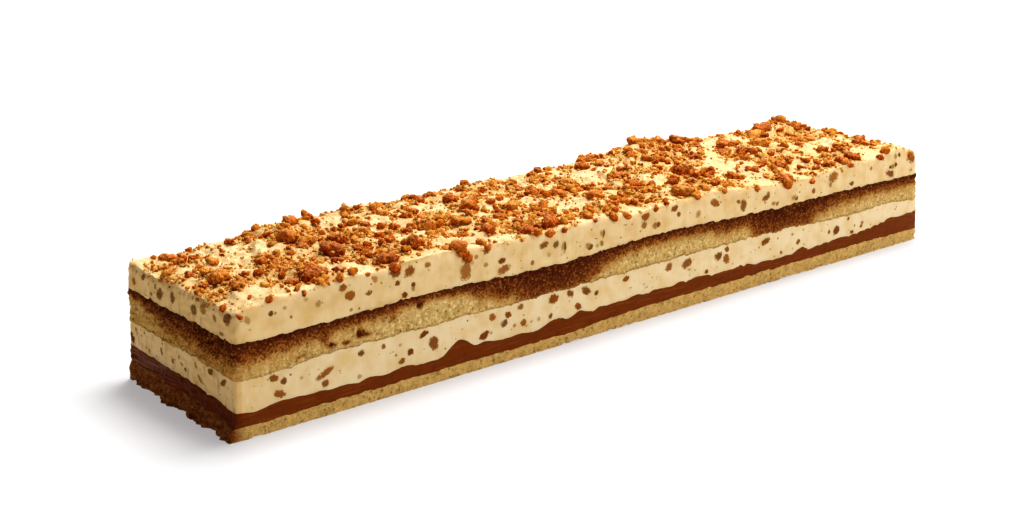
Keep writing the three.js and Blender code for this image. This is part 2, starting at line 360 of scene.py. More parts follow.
# %% The base sponge
TOE_HEIGHT, TOE_REACH = 1.2, 0.8
base = cut_slab("cake_base", "bottom", "base", cuts=15)
push_out(base, "base_crumble", "CLOUDS", 2.2, 0.9, "cut_faces")
push_out(base, "base_grain", "CLOUDS", 0.8, 0.6, "cut_faces")
points = points_of(base)
s, y, z = (points / MM - ORIGIN).T
toe = np.clip(ripple(s, y, 2.4, 71) + 0.5 * ripple(s, y, 5.0, 72) - 0.25, 0, 1)
toe *= np.clip(0.45 + 1.6 * ripple(s, y, 21.0, 73), 0.1, 1)
rim = np.minimum(np.minimum(s, LENGTH - s), WIDTH / 2 - np.abs(y))
points[:, 2] += MM * TOE_HEIGHT * toe * np.exp(-z / TOE_REACH) * (rim < 1.5)
points[:, 2] = np.maximum(points[:, 2], 0)
move_points(base, points)
finish_layer(base, "base_sponge")

# %% [markdown]
# The ganache is a firm chocolate cream. The knife drags it into a smooth band with
# a few shallow lines, so its relief is very low.

# %% The chocolate ganache
ganache = cut_slab("ganache_band", "base", "ganache", cuts=11)
push_out(ganache, "ganache_drag", "CLOUDS", 3.5, 0.35, "cut_faces")
finish_layer(ganache, "chocolate_ganache")

# %% [markdown]
# The lower cream is set like a soft pudding, and the knife leaves it nearly flat.

# %% The lower cream
lower_cream = cut_slab("cream_band", "ganache", "lower", cuts=11)
push_out(lower_cream, "cream_knife", "CLOUDS", 4.0, 0.35, "cut_faces")
finish_layer(lower_cream, "lower_cream")

# %% [markdown]
# The middle sponge is the roughest cut: a fluffy crumb with open pores. A Voronoi
# texture opens the pores and a fine cloud texture makes the torn crumb between.

# %% The middle sponge
sponge = cut_slab("soaked_sponge", "lower", "sponge", cuts=19)
push_out(sponge, "sponge_tear", "CLOUDS", 3.0, 0.8, "cut_faces")
push_out(sponge, "sponge_crumb", "CLOUDS", 1.0, 0.8, "cut_faces")
push_out(sponge, "sponge_pores", "VORONOI", 1.5, 0.9, "cut_faces")
finish_layer(sponge, "middle_sponge")

# %% [markdown]
# The upper cream is the piece that shows most. Its top is spread with a palette
# knife in low waves, so the whole top is finely divided as well and gets a broad
# and a fine swirl of its own.

# %% The upper cream
upper_cream = cut_slab("cream_top", "sponge", "top", cuts=9, fine_top=True)
push_out(upper_cream, "cream_swirl", "CLOUDS", 9.0, 2.5, "top_face")
push_out(upper_cream, "cream_peaks", "CLOUDS", 3.2, 2.1, "top_face")
push_out(upper_cream, "cream_cut", "CLOUDS", 4.0, 0.35, "cut_faces")
finish_layer(upper_cream, "upper_cream")

# %% [markdown]
# The crumbs on top are broken baked biscuit. The largest stand where the packed
# solid has them, so the same rule is written here: a few that catch the eye are
# listed one by one, and the others are strewn by a seeded draw that keeps off the bare
# patches and off each other.

# %% Where the large crumbs lie
CRUMB_COUNT = 148
SEED = 20
PLACED_CRUMBS = [
    (57, 17, 11), (39, -29, 9.5), (60, -11, 9.5), (108, -5, 9.5), (85, -28, 8.5),
    (70, 1, 8.8), (68, -34, 8.6), (14, -6, 7.7), (15, -20, 6.8), (68, 32, 7.4),
    (140, 8, 8.8), (135, -36, 8.2), (149, -33, 8.8), (98, -38, 7), (154, -3, 7.8),
    (186, 3, 7), (193, -13, 7), (174, 6, 6.9), (142, 22, 6.8), (227, -33, 9.2),
    (256, -6, 10), (222, 26, 7.2), (233, 35, 8), (265, 35, 7.4), (280, 35, 7.6),
    (291, 31, 8.6), (301, 9, 9), (309, 2, 8.2), (325, 8, 8.6), (342, 25, 9),
    (352, 30, 10.5), (372, 34, 9), (368, 20, 7), (290, -37, 8.4), (270, -25, 7.4),
    (305, -22, 6.9), (384, -8, 7), (336, -34, 7), (15, 34, 6.5), (133, -3, 6.4),
    (122, -8, 6.3), (201, 14, 6.4), (221, -8, 6.7), (224, 4, 5.8), (271, 12, 6.1),
    (312, 17, 9.8), (327, -33, 6), (344, -34, 7.2), (382, -20, 5.4), (344, -16, 5.6),
    (156, -22, 5.3), (138, -15, 5.8), (49, 31, 4.7), (56, 5, 5), (106, 22, 5.3),
    (119, 2, 5.2), (35, -12, 4.8), (266, -12, 5.9), (285, -22, 5.3), (142, 33, 4.9),
    (253, 14, 5.4), (151, 18, 4.9), (299, 31, 7.2), (318, -33, 4.4), (372, -25, 5.3),
    (377, -13, 6.1), (273, 25, 5.3),
]
BARE_PATCHES = [
    (16, -33, 15, 8), (52, -36, 9, 6), (104, -28, 8, 9), (183, -16, 20, 9),
    (211, 10, 7, 9), (314, 20, 15, 10), (346, -8, 10, 8), (28, 30, 10, 7),
]

draw_state = SEED


def draw(low=0.0, high=1.0):
    """The next number of the same seeded draw that strewed the solid's crumbs."""
    global draw_state
    draw_state = (draw_state * 1664525 + 1013904223) % 4294967296
    return low + (high - low) * draw_state / 4294967296


def cover(s, y):
    """The chance that the cream is covered at a place."""
    bare = np.zeros(np.shape(s), bool)
    for at, middle, along, across in BARE_PATCHES:
        bare |= ((s - at) / along) ** 2 + ((y - middle) / across) ** 2 < 1
    rim = np.minimum(1, np.minimum(0.35 + (y - FRONT_Y) / 22, 0.65 + s / 30))
    return np.where(bare, 0.08, rim)


crumbs = [list(crumb) for crumb in PLACED_CRUMBS]
while len(crumbs) < CRUMB_COUNT:
    share = len(crumbs) / CRUMB_COUNT
    s, y = draw(4, LENGTH - 4), draw(FRONT_Y + 3, BACK_Y - 3)
    width = (6.4 - 2.6 * share) * draw(0.9, 1.1)
    clear = all(math.hypot(a - s, b - y) > 0.62 * (w + width) for a, b, w in crumbs)
    if clear and draw() < float(cover(s, y)):
        crumbs.append([s, y, width])
large = np.array(crumbs)
print("large crumbs:", len(large), "widths", large[:, 2].min().round(1), "to",
      large[:, 2].max().round(1), "mm")

# %% [markdown]
# A crumb is a nugget of rounded bits that baked together. A few balls are set in one
# mesh, melted into one skin by a remesh, smoothed, given knobs and grain by two
# displacements and thinned out. A few different nuggets are modelled once, at a width
# of 1, and all the crumbs are turned and sized copies of them. The fewer bits a crumb
# has, the rounder it is. The small ones have only a few faces, because there are
# thousands of them.

# %% The nuggets that the crumbs are copied from
def melt(nugget, kind, **settings):
    """Applies one modifier to the nugget."""
    modifier = nugget.modifiers.new(kind.lower(), kind)
    for key, value in settings.items():
        setattr(modifier, key, value)
    bpy.ops.object.modifier_apply(modifier=modifier.name)


VOXEL, KNOB_SIZE, KNOB_DEPTH, GRAIN_SIZE = 0.045, 300, 0.22, 85


def model_nugget(bits, face_count, grain, seed):
    """Corners and triangles of one uneven nugget, 1 wide."""
    pick = np.random.default_rng(seed)
    start_clean()
    bpy.ops.mesh.primitive_ico_sphere_add(subdivisions=3, radius=0.35)
    nugget = bpy.context.object
    bpy.ops.object.mode_set(mode="EDIT")
    for _ in range(bits):
        turn, up = pick.uniform(0, 2 * math.pi), pick.uniform(-0.12, 0.2)
        out = pick.uniform(0.18, 0.30)
        bpy.ops.mesh.primitive_ico_sphere_add(
            subdivisions=3, radius=pick.uniform(0.12, 0.26),
            location=(out * math.cos(turn), out * math.sin(turn), up))
    bpy.ops.object.mode_set(mode="OBJECT")
    melt(nugget, "REMESH", mode="VOXEL", voxel_size=VOXEL)
    melt(nugget, "SMOOTH", factor=0.6, iterations=4)
    nugget.vertex_groups.new(name="all").add(
        list(range(len(nugget.data.vertices))), 1.0, "REPLACE")
    push_out(nugget, "nugget_knobs", "CLOUDS", KNOB_SIZE, KNOB_DEPTH / MM, "all")
    push_out(nugget, "nugget_grain", "CLOUDS", GRAIN_SIZE, grain / MM, "all")
    melt(nugget, "DECIMATE", ratio=face_count / (2 * len(nugget.data.polygons)),
         use_collapse_triangulate=True)
    corners = points_of(nugget)
    corners -= (corners.min(0) + corners.max(0)) / 2
    corners /= (corners.max(0) - corners.min(0)).mean()
    triangles = np.array([list(face.vertices) for face in nugget.data.polygons])
    bpy.data.objects.remove(nugget, do_unlink=True)
    return corners, triangles


large_lumps = [model_nugget(5, 1100, 0.13, seed) for seed in range(1, 13)]
medium_lumps = [model_nugget(3, 150, 0.08, seed) for seed in range(21, 31)]
small_lumps = [model_nugget(1, 22, 0.02, seed) for seed in range(41, 47)]
print("faces:", [len(lumps[0][1]) for lumps in (large_lumps, medium_lumps, small_lumps)])


# %% The grains that the finest crumble is copied from
def model_grain(seed):
    """A grain with eight faces: a cone, with its base drawn to a point as well."""
    start_clean()
    bpy.ops.mesh.primitive_cone_add(vertices=4, radius1=0.5, radius2=0, depth=0.42)
    grain = bpy.context.object
    bpy.ops.object.mode_set(mode="EDIT")
    select_faces(lambda centre, normal: normal.z < -0.9)
    bpy.ops.mesh.poke(offset=0.38)
    bpy.ops.mesh.select_all(action="SELECT")
    bpy.ops.transform.rotate(value=seed, orient_axis="Y", center_override=(0, 0, 0))
    bpy.ops.object.mode_set(mode="OBJECT")
    corners = points_of(grain)
    corners -= (corners.min(0) + corners.max(0)) / 2
    triangles = np.array([list(face.vertices) for face in grain.data.polygons])
    bpy.data.objects.remove(grain, do_unlink=True)
    return corners, triangles


grains = [model_grain(seed) for seed in range(1, 6)]
print("faces of a grain:", len(grains[0][1]))

# %% Copies of the lumps joined into one mesh
rng = np.random.default_rng(7)


def turned(count, tilt):
    """A turn for every crumb: all the way round upright, and a tilt to either side."""
    spin = rng.uniform(0, 2 * np.pi, count)
    lean = rng.uniform(-tilt, tilt, count)
    towards = rng.uniform(0, 2 * np.pi, count)
    matrices = np.empty((count, 3, 3))
    for i in range(count):
        around = Vector((math.cos(towards[i]), math.sin(towards[i]), 0))
        tilt_matrix = np.array(Matrix.Rotation(lean[i], 3, around))
        c, n = math.cos(spin[i]), math.sin(spin[i])
        matrices[i] = tilt_matrix @ np.array([[c, -n, 0], [n, c, 0], [0, 0, 1]])
    return matrices


def joined_crumbs(name, lumps, places, sizes, turns, tones):
    """One mesh of all the crumbs, with a tone for each that its colour is read from.

    Every corner also knows its lift, from 0 under its crumb to 1 on top of it."""
    kinds = rng.integers(0, len(lumps), len(places))
    corners, faces, tone, lift, start = [], [], [], [], 0
    for place, size, turn, kind, shade in zip(places, sizes, turns, kinds, tones):
        shape, triangles = lumps[kind]
        crumb = (shape * size) @ turn.T
        corners.append(crumb + place)
        faces.append(triangles + start)
        tone.append(np.full(len(shape), shade))
        lift.append(0.5 + 0.5 * crumb[:, 2] / np.abs(crumb[:, 2]).max())
        start += len(shape)
    mesh = bpy.data.meshes.new(name)
    mesh.from_pydata((np.vstack(corners) * MM).tolist(), [], np.vstack(faces).tolist())
    for label, values in (("tone", tone), ("lift", lift)):
        mesh.attributes.new(label, "FLOAT", "POINT").data.foreach_set(
            "value", np.concatenate(values))
    piece = bpy.data.objects.new(name, mesh)
    bpy.context.collection.objects.link(piece)
    piece.data.polygons.foreach_set("use_smooth", np.ones(len(mesh.polygons), bool))
    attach(piece, "root")
    print(name, len(places), "pieces,", len(mesh.polygons), "faces")
    return piece


def surface_under(pieces_below, s, y):
    """Height of the topmost surface under each place, found by looking down on it."""
    trees = []
    for piece in pieces_below:
        corners = points_of(piece) / MM - ORIGIN
        trees.append(BVHTree.FromPolygons(
            corners.tolist(), [list(face.vertices) for face in piece.data.polygons]))
    heights = np.full(len(s), -1.0)
    for i, (a, b) in enumerate(zip(s, y)):
        for tree in trees:
            hit = tree.ray_cast(Vector((a, b, 90.0)), Vector((0, 0, -1)))[0]
            if hit is not None:
                heights[i] = max(heights[i], hit.z)
    return heights


# %% [markdown]
# Large crumbs sink a little into the cream and are wider than they are high.

# %% The large crumbs
FLATNESS, SINK = 0.78, 0.06
large_sizes = np.column_stack([large[:, 2] * rng.uniform(0.98, 1.15, len(large)),
                               large[:, 2] * rng.uniform(0.88, 1.05, len(large)),
                               large[:, 2] * FLATNESS * rng.uniform(0.85, 1.05, len(large))])
large_heights = surface_under([upper_cream], np.clip(large[:, 0], 1, LENGTH - 1),
                              np.clip(large[:, 1], FRONT_Y + 1, BACK_Y - 1))
large_places = np.column_stack([large[:, 0], large[:, 1],
                                large_heights + SINK * large[:, 2]]) + ORIGIN
large_crumbs = joined_crumbs("large_crumbs", large_lumps, large_places, large_sizes,
                             turned(len(large), 0.4),
                             np.clip(rng.uniform(-0.2, 0.6, len(large)), 0, 1))

# %% [markdown]
# Smaller crumbs gather round the large ones and in drifts with ragged borders, and
# the bare patches stay nearly clean. Random waves of three sizes make the drifts.
# They thin out towards the front rim and a little towards the far end.

# %% Where the smaller crumbs gather
def soft_step(low, high, value):
    """0 below low, 1 above high and smooth between."""
    share = np.clip((value - low) / (high - low), 0, 1)
    return share * share * (3 - 2 * share)


def carpet(s, y):
    """How thickly the smaller crumbs lie, between 0 and 1."""
    thick = soft_step(-0.45, 0.6, 0.5 * ripple(s, y, 13.0, 81)
                      + 0.6 * ripple(s, y, 5.5, 82) + 0.4 * ripple(s, y, 2.5, 83))
    for at, middle, along, across in BARE_PATCHES:
        away = np.hypot((s - at) / along, (y - middle) / across)
        away += 0.45 * ripple(s, y, 6.0, 84) + 0.25 * ripple(s, y, 2.8, 85)
        thick = thick * (0.10 + 0.90 * soft_step(0.6, 1.25, away))
    rim = np.clip(0.5 + (y - FRONT_Y) / 20, 0, 1)
    return (0.04 + 0.96 * thick) * rim * (1 - 0.33 * soft_step(170, 300, s))


def strew(count, smallest, largest, margin, bunched):
    """Places and widths of smaller crumbs; small ones are far more common."""
    s, y, width = [], [], []
    while sum(map(len, s)) < count:
        a = rng.uniform(margin, LENGTH - margin, count)
        b = rng.uniform(FRONT_Y + margin, BACK_Y - margin, count)
        near = np.full(count, 99.0)
        for at, across, size in large:
            near = np.minimum(near, np.hypot(a - at, b - across) / size)
        chance = carpet(a, b) * np.where(near < 0.42, 0.1, 1)
        chance = np.maximum(chance, bunched * np.exp(-((near - 0.6) / 0.22) ** 2))
        kept = rng.uniform(0, 1, count) < chance
        s.append(a[kept])
        y.append(b[kept])
        width.append(smallest + (largest - smallest) * rng.uniform(0, 1, kept.sum()) ** 2)
    return (np.concatenate(s)[:count], np.concatenate(y)[:count],
            np.concatenate(width)[:count])


# %% The medium and small crumbs
def strewn_piece(name, lumps, count, widths, margin, bunched, tones, below, sunk=0.14):
    """Crumbs strewn over what lies below, joined into one piece."""
    s, y, width = strew(count, *widths, margin, bunched)
    height = surface_under(below, s, y)
    sizes = width[:, None] * rng.uniform(0.75, 1.2, (count, 3)) * [1, 1, 0.85]
    places = np.column_stack([s, y, height + sunk * width]) + ORIGIN
    return joined_crumbs(name, lumps, places, sizes, turned(count, 1.2),
                         rng.uniform(*tones, count)), (s, y, width)


medium_crumbs, medium_spots = strewn_piece(
    "medium_crumbs", medium_lumps, 650, (1.7, 4.8), 0.8, 0.3, (-0.1, 0.75),
    [upper_cream])
small_crumbs, small_spots = strewn_piece(
    "small_crumbs", small_lumps, 5800, (0.75, 1.9), 0.4, 0.4, (0.25, 1.25),
    [upper_cream, large_crumbs])
fine_crumble, _ = strewn_piece(
    "fine_crumble", grains, 22000, (0.4, 0.9), 0.3, 0.3, (0.9, 1.7),
    [upper_cream, large_crumbs, medium_crumbs], sunk=0.1)

# %% [markdown]
# A few crumbs lie on the very rim, or were caught by it and hang in the front face.

# %% Crumbs caught in the front rim: (distance, height, width)
RIM_CRUMBS = [
    (2, 44.6, 2.6), (14, 48.6, 3.6), (28, 47.8, 2.4), (43, 50.3, 3.8), (55, 49.2, 2.4),
    (67, 49.2, 5.2), (98, 49.6, 6.4), (101, 46.6, 4.6), (111, 48.8, 3.2), (143, 48.2, 5),
    (151, 48.4, 3.4), (168, 49.4, 2.6), (178, 49.3, 4.5), (186, 48.2, 4.2), (203, 48, 3),
    (229, 49.2, 3.8), (246, 49, 3), (268, 46.6, 3.4), (289, 45.4, 7), (307, 43.6, 4.4),
    (336, 47, 3.6), (359, 47.4, 4.2), (383, 45.2, 5.4),
]
rim = np.array(RIM_CRUMBS)
rim_turns = turned(len(rim), 1.2)
rim_sizes = rim[:, 2:] * rng.uniform(0.8, 1.1, (len(rim), 3)) * [1, 0.8, 1]
rim_places = np.column_stack([rim[:, 0], np.full(len(rim), FRONT_Y + 0.4),
                              rim[:, 1]]) + ORIGIN
rim_crumbs = joined_crumbs("crumbs_in_the_rim", large_lumps, rim_places, rim_sizes,
                           rim_turns, rng.uniform(0, 0.5, len(rim)))

# %% [markdown]
# The finest crumbs are only a golden dust that colours the cream. It is kept as a
# value on every corner of the cream, high where crumbs lie close together, and the
# cream's finish reads it.

# %% Dust on the cream, from how many crumbs lie near
s, y, z = place_of(upper_cream)
dust = np.zeros(len(s))
for spots, reach, weight in ((large[:, :3].T, 0.8, 0.5), (medium_spots, 1.2, 0.4),
                             (small_spots, 1.7, 0.28)):
    for at, across, width in zip(*spots):
        close = np.nonzero((np.abs(s - at) < 4 * reach * width)
                           & (np.abs(y - across) < 4 * reach * width))[0]
        away = np.hypot(s[close] - at, y[close] - across) / (reach * width)
        dust[close] += weight * np.exp(-away ** 2)
on_top = np.minimum(np.minimum(s, LENGTH - s), WIDTH / 2 - np.abs(y)) > 0.4
upper_cream.data.attributes.new("dust", "FLOAT", "POINT").data.foreach_set(
    "value", np.clip(dust, 0, 1.5) * on_top)
print("mean dust on the top:", dust[on_top].mean().round(2))

# %% [markdown]
# The creams were mixed with crumbs before they set, so the knife cut through some
# of them. On a cut face such a crumb is a flat brown spot, level with the cream and
# blurred where a little cream still covers it. Those on the front cut and on the near
# end are placed as they lie, and the other sides get theirs by the same measure.

# %% Crumbs cut through on the front face: (distance, height, width, height of spot)
UPPER_SPOTS = [
    (14, 43.6, 2, 2), (44, 46.6, 3.5, 3), (47, 43.1, 4.5, 3.5), (55, 42.3, 3, 2),
    (67, 48, 6, 5), (73.5, 46.9, 5, 4), (68, 43.4, 2.5, 2.5), (71, 38.1, 2.8, 2.5),
    (75, 41.3, 2, 2), (100, 47.3, 5, 6), (100, 41.3, 6, 7), (110.5, 48, 4, 3.5),
    (118, 42.2, 4, 2.5), (119, 38.4, 7, 3.5), (139.5, 44.3, 5, 3), (146, 43.4, 3, 3),
    (151, 41.9, 1.5, 4), (172.5, 43.1, 1.5, 4), (165, 38.6, 3, 2.4), (196, 42.5, 3.5, 3),
    (197, 46.3, 5.5, 4), (204.5, 41.3, 2.5, 2.5), (214.5, 46.6, 4.5, 2.8),
    (217, 43.6, 2.5, 2.5), (240, 44.7, 6, 3.4), (255.5, 42.5, 3, 2), (259, 40.3, 4, 5.5),
    (274.5, 41.3, 5.5, 3), (282.5, 37.2, 2.5, 2), (296, 37.4, 3, 2), (308.5, 38.8, 3, 2.5),
    (323, 43.4, 7, 5.4), (337.5, 37.8, 3, 2.2), (368, 38, 7.5, 3.3), (372, 41.9, 2.5, 2.5),
    (367.5, 41.3, 2, 2), (374.5, 46.5, 2.2, 2.2), (385, 43.2, 6, 5),
]
LOWER_SPOTS = [
    (14, 19.8, 4, 2.6), (18, 17.8, 2.8, 2.8), (16, 13.4, 5, 3), (35, 16.3, 8, 2.6),
    (35, 12.5, 3, 3), (51, 20.3, 3, 2.5), (61, 20.4, 2, 2), (73, 15.3, 3, 3),
    (69, 12.6, 3.2, 2.4), (79.5, 20.8, 4.5, 2.5), (84, 16.3, 5, 5.5), (113, 20.2, 3.5, 3),
    (121, 19.4, 3.5, 2.5), (119, 16.3, 3.8, 3), (109, 13.6, 5.5, 3), (127.5, 21.3, 3.5, 2.5),
    (129, 14.3, 3, 3), (143.5, 13.9, 2.5, 2.5), (145, 20.8, 5.5, 4), (154, 21.2, 4, 3),
    (163, 20.6, 6, 3.3), (158.5, 14.6, 4.5, 2.8), (169, 18.4, 2.5, 2.5), (186, 21, 4, 2.5),
    (212, 21, 4.5, 3.8), (223, 20.4, 6.5, 4.6), (243.5, 19.7, 5.5, 4), (249, 21.8, 3.5, 2.5),
    (249, 17.4, 4, 5), (236, 14, 2.5, 2), (275.5, 20.6, 6, 3.3), (287, 13, 2, 2),
    (299, 15.9, 3, 3), (327.5, 16.3, 4.5, 5), (322, 16.6, 2, 2), (340, 13.4, 2.8, 1.8),
    (347, 15, 2.2, 2.2), (336.5, 20.6, 2, 1.8),
]
# The same, but sunk in the cream so that they only show faintly.
VEILED_SPOTS = [
    (4.6, 43, 2.4, 3.6), (15.7, 43.3, 1.5, 1.4), (33.3, 42.7, 2.6, 3), (22, 40.5, 1.2, 1.2),
    (47.2, 37.6, 1.4, 1.4), (58, 47, 2.5, 3), (82, 47.6, 3, 2.4), (105.3, 46.2, 2, 2.2),
    (75, 39.9, 1.9, 2.6), (133.7, 38.2, 2, 2), (146, 43.2, 2.8, 3), (150, 41.8, 1.8, 4),
    (164, 39.4, 3.6, 2.8), (171.4, 39.2, 2.2, 2.6), (171.5, 43.2, 2.2, 3.4),
    (202.6, 41, 3.2, 3.2), (229.4, 41.4, 3.4, 3.6), (280, 37.6, 3, 2), (294, 38.2, 4, 2.8),
    (321, 40.1, 2.8, 3), (352, 43, 2, 2), (369.5, 41.3, 3, 2.8), (371.5, 46.2, 2.4, 3),
]
# And on the near end, for each cream: (Y, height, width, height of spot, veil)
NEAR_END_UPPER = [
    (13.3, 40.4, 5.4, 4.2, 0.17), (17, 42.2, 2, 2.4, 0.25), (4, 41.2, 3.6, 4.6, 0.15),
    (-11.6, 40.6, 4.4, 4, 0.2), (-18.2, 42.8, 4.6, 5, 0.25), (-16.7, 46.4, 2.6, 2.4, 0.1),
    (-34.2, 43.1, 4.4, 5.2, 0.15), (33.6, 40.4, 3.8, 3.4, 0.1), (26.3, 43.6, 3.4, 2.4, 0.15),
    (-26, 41, 2, 3, 0.3), (20, 38.8, 2, 1.6, 0.25),
]
NEAR_END_LOWER = [
    (-31.5, 19.3, 5, 2, 0.075), (-14.8, 15.6, 5, 3, 0.3), (-22.3, 20.6, 3, 2.6, 0.15),
    (-3.2, 15.8, 1.6, 1.6, 0.1), (-12, 20, 1.4, 3, 0.28), (37.6, 17, 3, 5, 0.05),
    (24, 15.4, 1.8, 1.8, 0.25), (14, 18, 2, 3, 0.3), (5, 17, 1.6, 2.4, 0.3),
]


# %% [markdown]
# Each spot is a thin patch on the skin of the cut. One round patch is modelled, with
# rings to bend it by, and every copy is laid on the cut face: its outer ring just
# under the skin and its middle just over it, so that it has no edge. Its finish
# blends from the cream's own colour at the outside to brown in the middle.

# %% The patch that every cut crumb is copied from
def model_patch():
    """Corners (across, depth, up), how near each is to the middle, and the faces."""
    start_clean()
    bpy.ops.mesh.primitive_cylinder_add(vertices=18, radius=0.5, depth=1,
                                        rotation=(math.pi / 2, 0, 0))
    bpy.ops.object.transform_apply(rotation=True)
    patch = bpy.context.object
    bpy.ops.object.mode_set(mode="EDIT")
    select_faces(lambda centre, normal: normal.y < -0.9)
    for _ in range(3):
        bpy.ops.mesh.inset(thickness=0.12)
    bpy.ops.mesh.poke()
    bpy.ops.object.mode_set(mode="OBJECT")
    corners = points_of(patch)
    middle = 1 - 2 * np.hypot(corners[:, 0], corners[:, 2])
    outside = corners[:, 1] < 0
    faces = [list(face.vertices) for face in patch.data.polygons]
    bpy.data.objects.remove(patch, do_unlink=True)
    return corners, np.clip(middle, 0, 1), outside, faces


patch_corners, patch_middle, patch_outside, patch_faces = model_patch()
OVER, UNDER, ROOT = 0.10, 0.10, 0.9
PATCH_REACH, PATCH_ROLL = 1.35, 0.6    # wider than its spot, and turned at random
print("a patch has", len(patch_faces), "faces")


# %% Laying the patches on a cut face
def lay_patches(name, layer, lower, upper, spots):
    """One mesh of patches on a layer's skin: (s, y, z, outward turn, wide, high, veil)."""
    skin = BVHTree.FromPolygons((points_of(layer) / MM - ORIGIN).tolist(),
                                [list(face.vertices) for face in layer.data.polygons])
    corners, faces, middle, tone, veil, start = [], [], [], [], [], 0
    for s, y, z, facing, wide, high, veiled in spots:
        out = np.array([math.sin(facing), -math.cos(facing), 0.0])
        along = np.array([math.cos(facing), math.sin(facing), 0.0])
        roll = rng.uniform(-PATCH_ROLL, PATCH_ROLL)
        a = patch_corners[:, 0] * wide * PATCH_REACH
        b = patch_corners[:, 2] * high * PATCH_REACH
        a, b = a * math.cos(roll) - b * math.sin(roll), a * math.sin(roll) + b * math.cos(roll)
        place = np.array([s, y, z]) + np.outer(a, along) + np.outer(b, [0, 0, 1])
        place[:, 0] = np.clip(place[:, 0], 0, LENGTH)
        place[:, 1] = np.clip(place[:, 1], FRONT_Y, BACK_Y)
        floor_z = boundary(lower, place[:, 0], place[:, 1]) + 0.1
        place[:, 2] = np.clip(place[:, 2], floor_z, boundary(
            upper, place[:, 0], place[:, 1]) - (1.3 if upper == "top" else 0.1))
        for i in range(len(place)):
            start_at = Vector(place[i] + out * 6)
            hit = skin.ray_cast(start_at, Vector(-out))[0]
            if hit is None:
                hit = skin.find_nearest(Vector(place[i]))[0]
            rise = OVER * patch_middle[i] ** 0.5 - UNDER * (patch_middle[i] < 0.05)
            place[i] = np.array(hit) + out * (rise if patch_outside[i] else -ROOT)
        corners.append(place)
        faces.extend([[k + start for k in face] for face in patch_faces])
        middle.append(np.where(patch_outside, patch_middle, 0))
        tone.append(np.full(len(place), rng.uniform(0, 0.75)))
        veil.append(np.full(len(place), veiled))
        start += len(place)
    mesh = bpy.data.meshes.new(name)
    mesh.from_pydata(((np.vstack(corners) + ORIGIN) * MM).tolist(), [], faces)
    for label, values in (("middle", middle), ("tone", tone), ("veil", veil)):
        mesh.attributes.new(label, "FLOAT", "POINT").data.foreach_set(
            "value", np.concatenate(values))
    piece = bpy.data.objects.new(name, mesh)
    bpy.context.collection.objects.link(piece)
    piece.data.polygons.foreach_set("use_smooth", np.ones(len(mesh.polygons), bool))
    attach(piece, "root")
    print(name, len(spots), "patches,", len(mesh.polygons), "faces")
    return piece


# %% The spots of both creams
TURN = {"front": 0.0, "far": math.pi / 2, "back": math.pi, "near": -math.pi / 2}


def spots_by_measure(lower, upper, count, widths, veils, faces):
    """Spots strewn over some of the cut faces, as many to the metre on each."""
    spots = []
    for face in faces:
        span = LENGTH if face in ("front", "back") else WIDTH
        for _ in range(int(count * span / LENGTH)):
            run, up = rng.uniform(2, span - 2), rng.uniform(0.12, 0.88)
            wide = widths[0] + (widths[1] - widths[0]) * rng.uniform() ** 1.6
            high = wide * rng.uniform(0.55, 1.1)
            s = run if span == LENGTH else (0.0 if face == "near" else LENGTH)
            y = run - WIDTH / 2 if span == WIDTH else (
                FRONT_Y if face == "front" else BACK_Y)
            low = float(boundary(lower, np.array([s]), np.array([y]))[0])
            top = float(boundary(upper, np.array([s]), np.array([y]))[0])
            spots.append((s, y, low + (top - low) * up, TURN[face], wide,
                          min(high, 0.5 * (top - low)), rng.uniform(*veils)))
    return spots


def front_spots(listed, veils):
    """The listed spots on the front cut, each sunk by a draw from veils."""
    return [(s, FRONT_Y, z, TURN["front"], w, h, rng.uniform(*veils))
            for s, z, w, h in listed]


def near_spots(listed):
    """The listed spots on the near end."""
    return [(0.0, y, z, TURN["near"], w, h, veil) for y, z, w, h, veil in listed]


ALL_FACES = ("front", "far", "back", "near")
upper_patches = lay_patches(
    "crumbs_cut_in_top_cream", upper_cream, "sponge", "top",
    front_spots(UPPER_SPOTS, (0, 0.15)) + front_spots(VEILED_SPOTS, (0.2, 0.55))
    + near_spots(NEAR_END_UPPER)
    + spots_by_measure("sponge", "top", 38, (1.5, 6), (0, 0.3), ("back", "far"))
    + spots_by_measure("sponge", "top", 30, (0.8, 2.6), (0.3, 0.8), ALL_FACES)
    + spots_by_measure("sponge", "top", 55, (0.5, 1.1), (0.2, 0.7), ALL_FACES))
lower_patches = lay_patches(
    "crumbs_cut_in_low_cream", lower_cream, "ganache", "lower",
    front_spots(LOWER_SPOTS, (0, 0.15)) + near_spots(NEAR_END_LOWER)
    + spots_by_measure("ganache", "lower", 38, (1.5, 6), (0, 0.3), ("back", "far"))
    + spots_by_measure("ganache", "lower", 26, (0.8, 2.6), (0.3, 0.8), ALL_FACES)
    + spots_by_measure("ganache", "lower", 60, (0.5, 1.2), (0.2, 0.7), ALL_FACES))

# %% [markdown]
# Syrup was brushed on the middle sponge, and it sank in unevenly: a dark band under
# the cream that in two places reaches right through. How deep each point lies in
# that band is a value on the sponge's corners, 1 at the band's lower edge. Low stains
# and a few broken pits are placed where the front cut shows them.

# %% How far the syrup reached
SOAK_FRONT = [(0, 6), (20, 4.5), (41, 3.5), (61, 3), (84, 2), (101, 3), (106, 5),
              (122, 5.5), (128, 9), (132, 14), (160, 14), (166, 6), (187, 3.5), (233, 3.2),
              (248, 5), (262, 4), (268, 9), (272, 13), (305, 13), (311, 6), (350, 4),
              (390, 4)]
SOAK_BACK = [(0, 3), (100, 5), (150, 6), (180, 12), (210, 5), (300, 4), (390, 5)]
SOAK_END = [(-40, 6.3), (-20, 8), (-10, 7), (10, 6.5), (20, 4), (30, 2.5), (40, 2.5)]

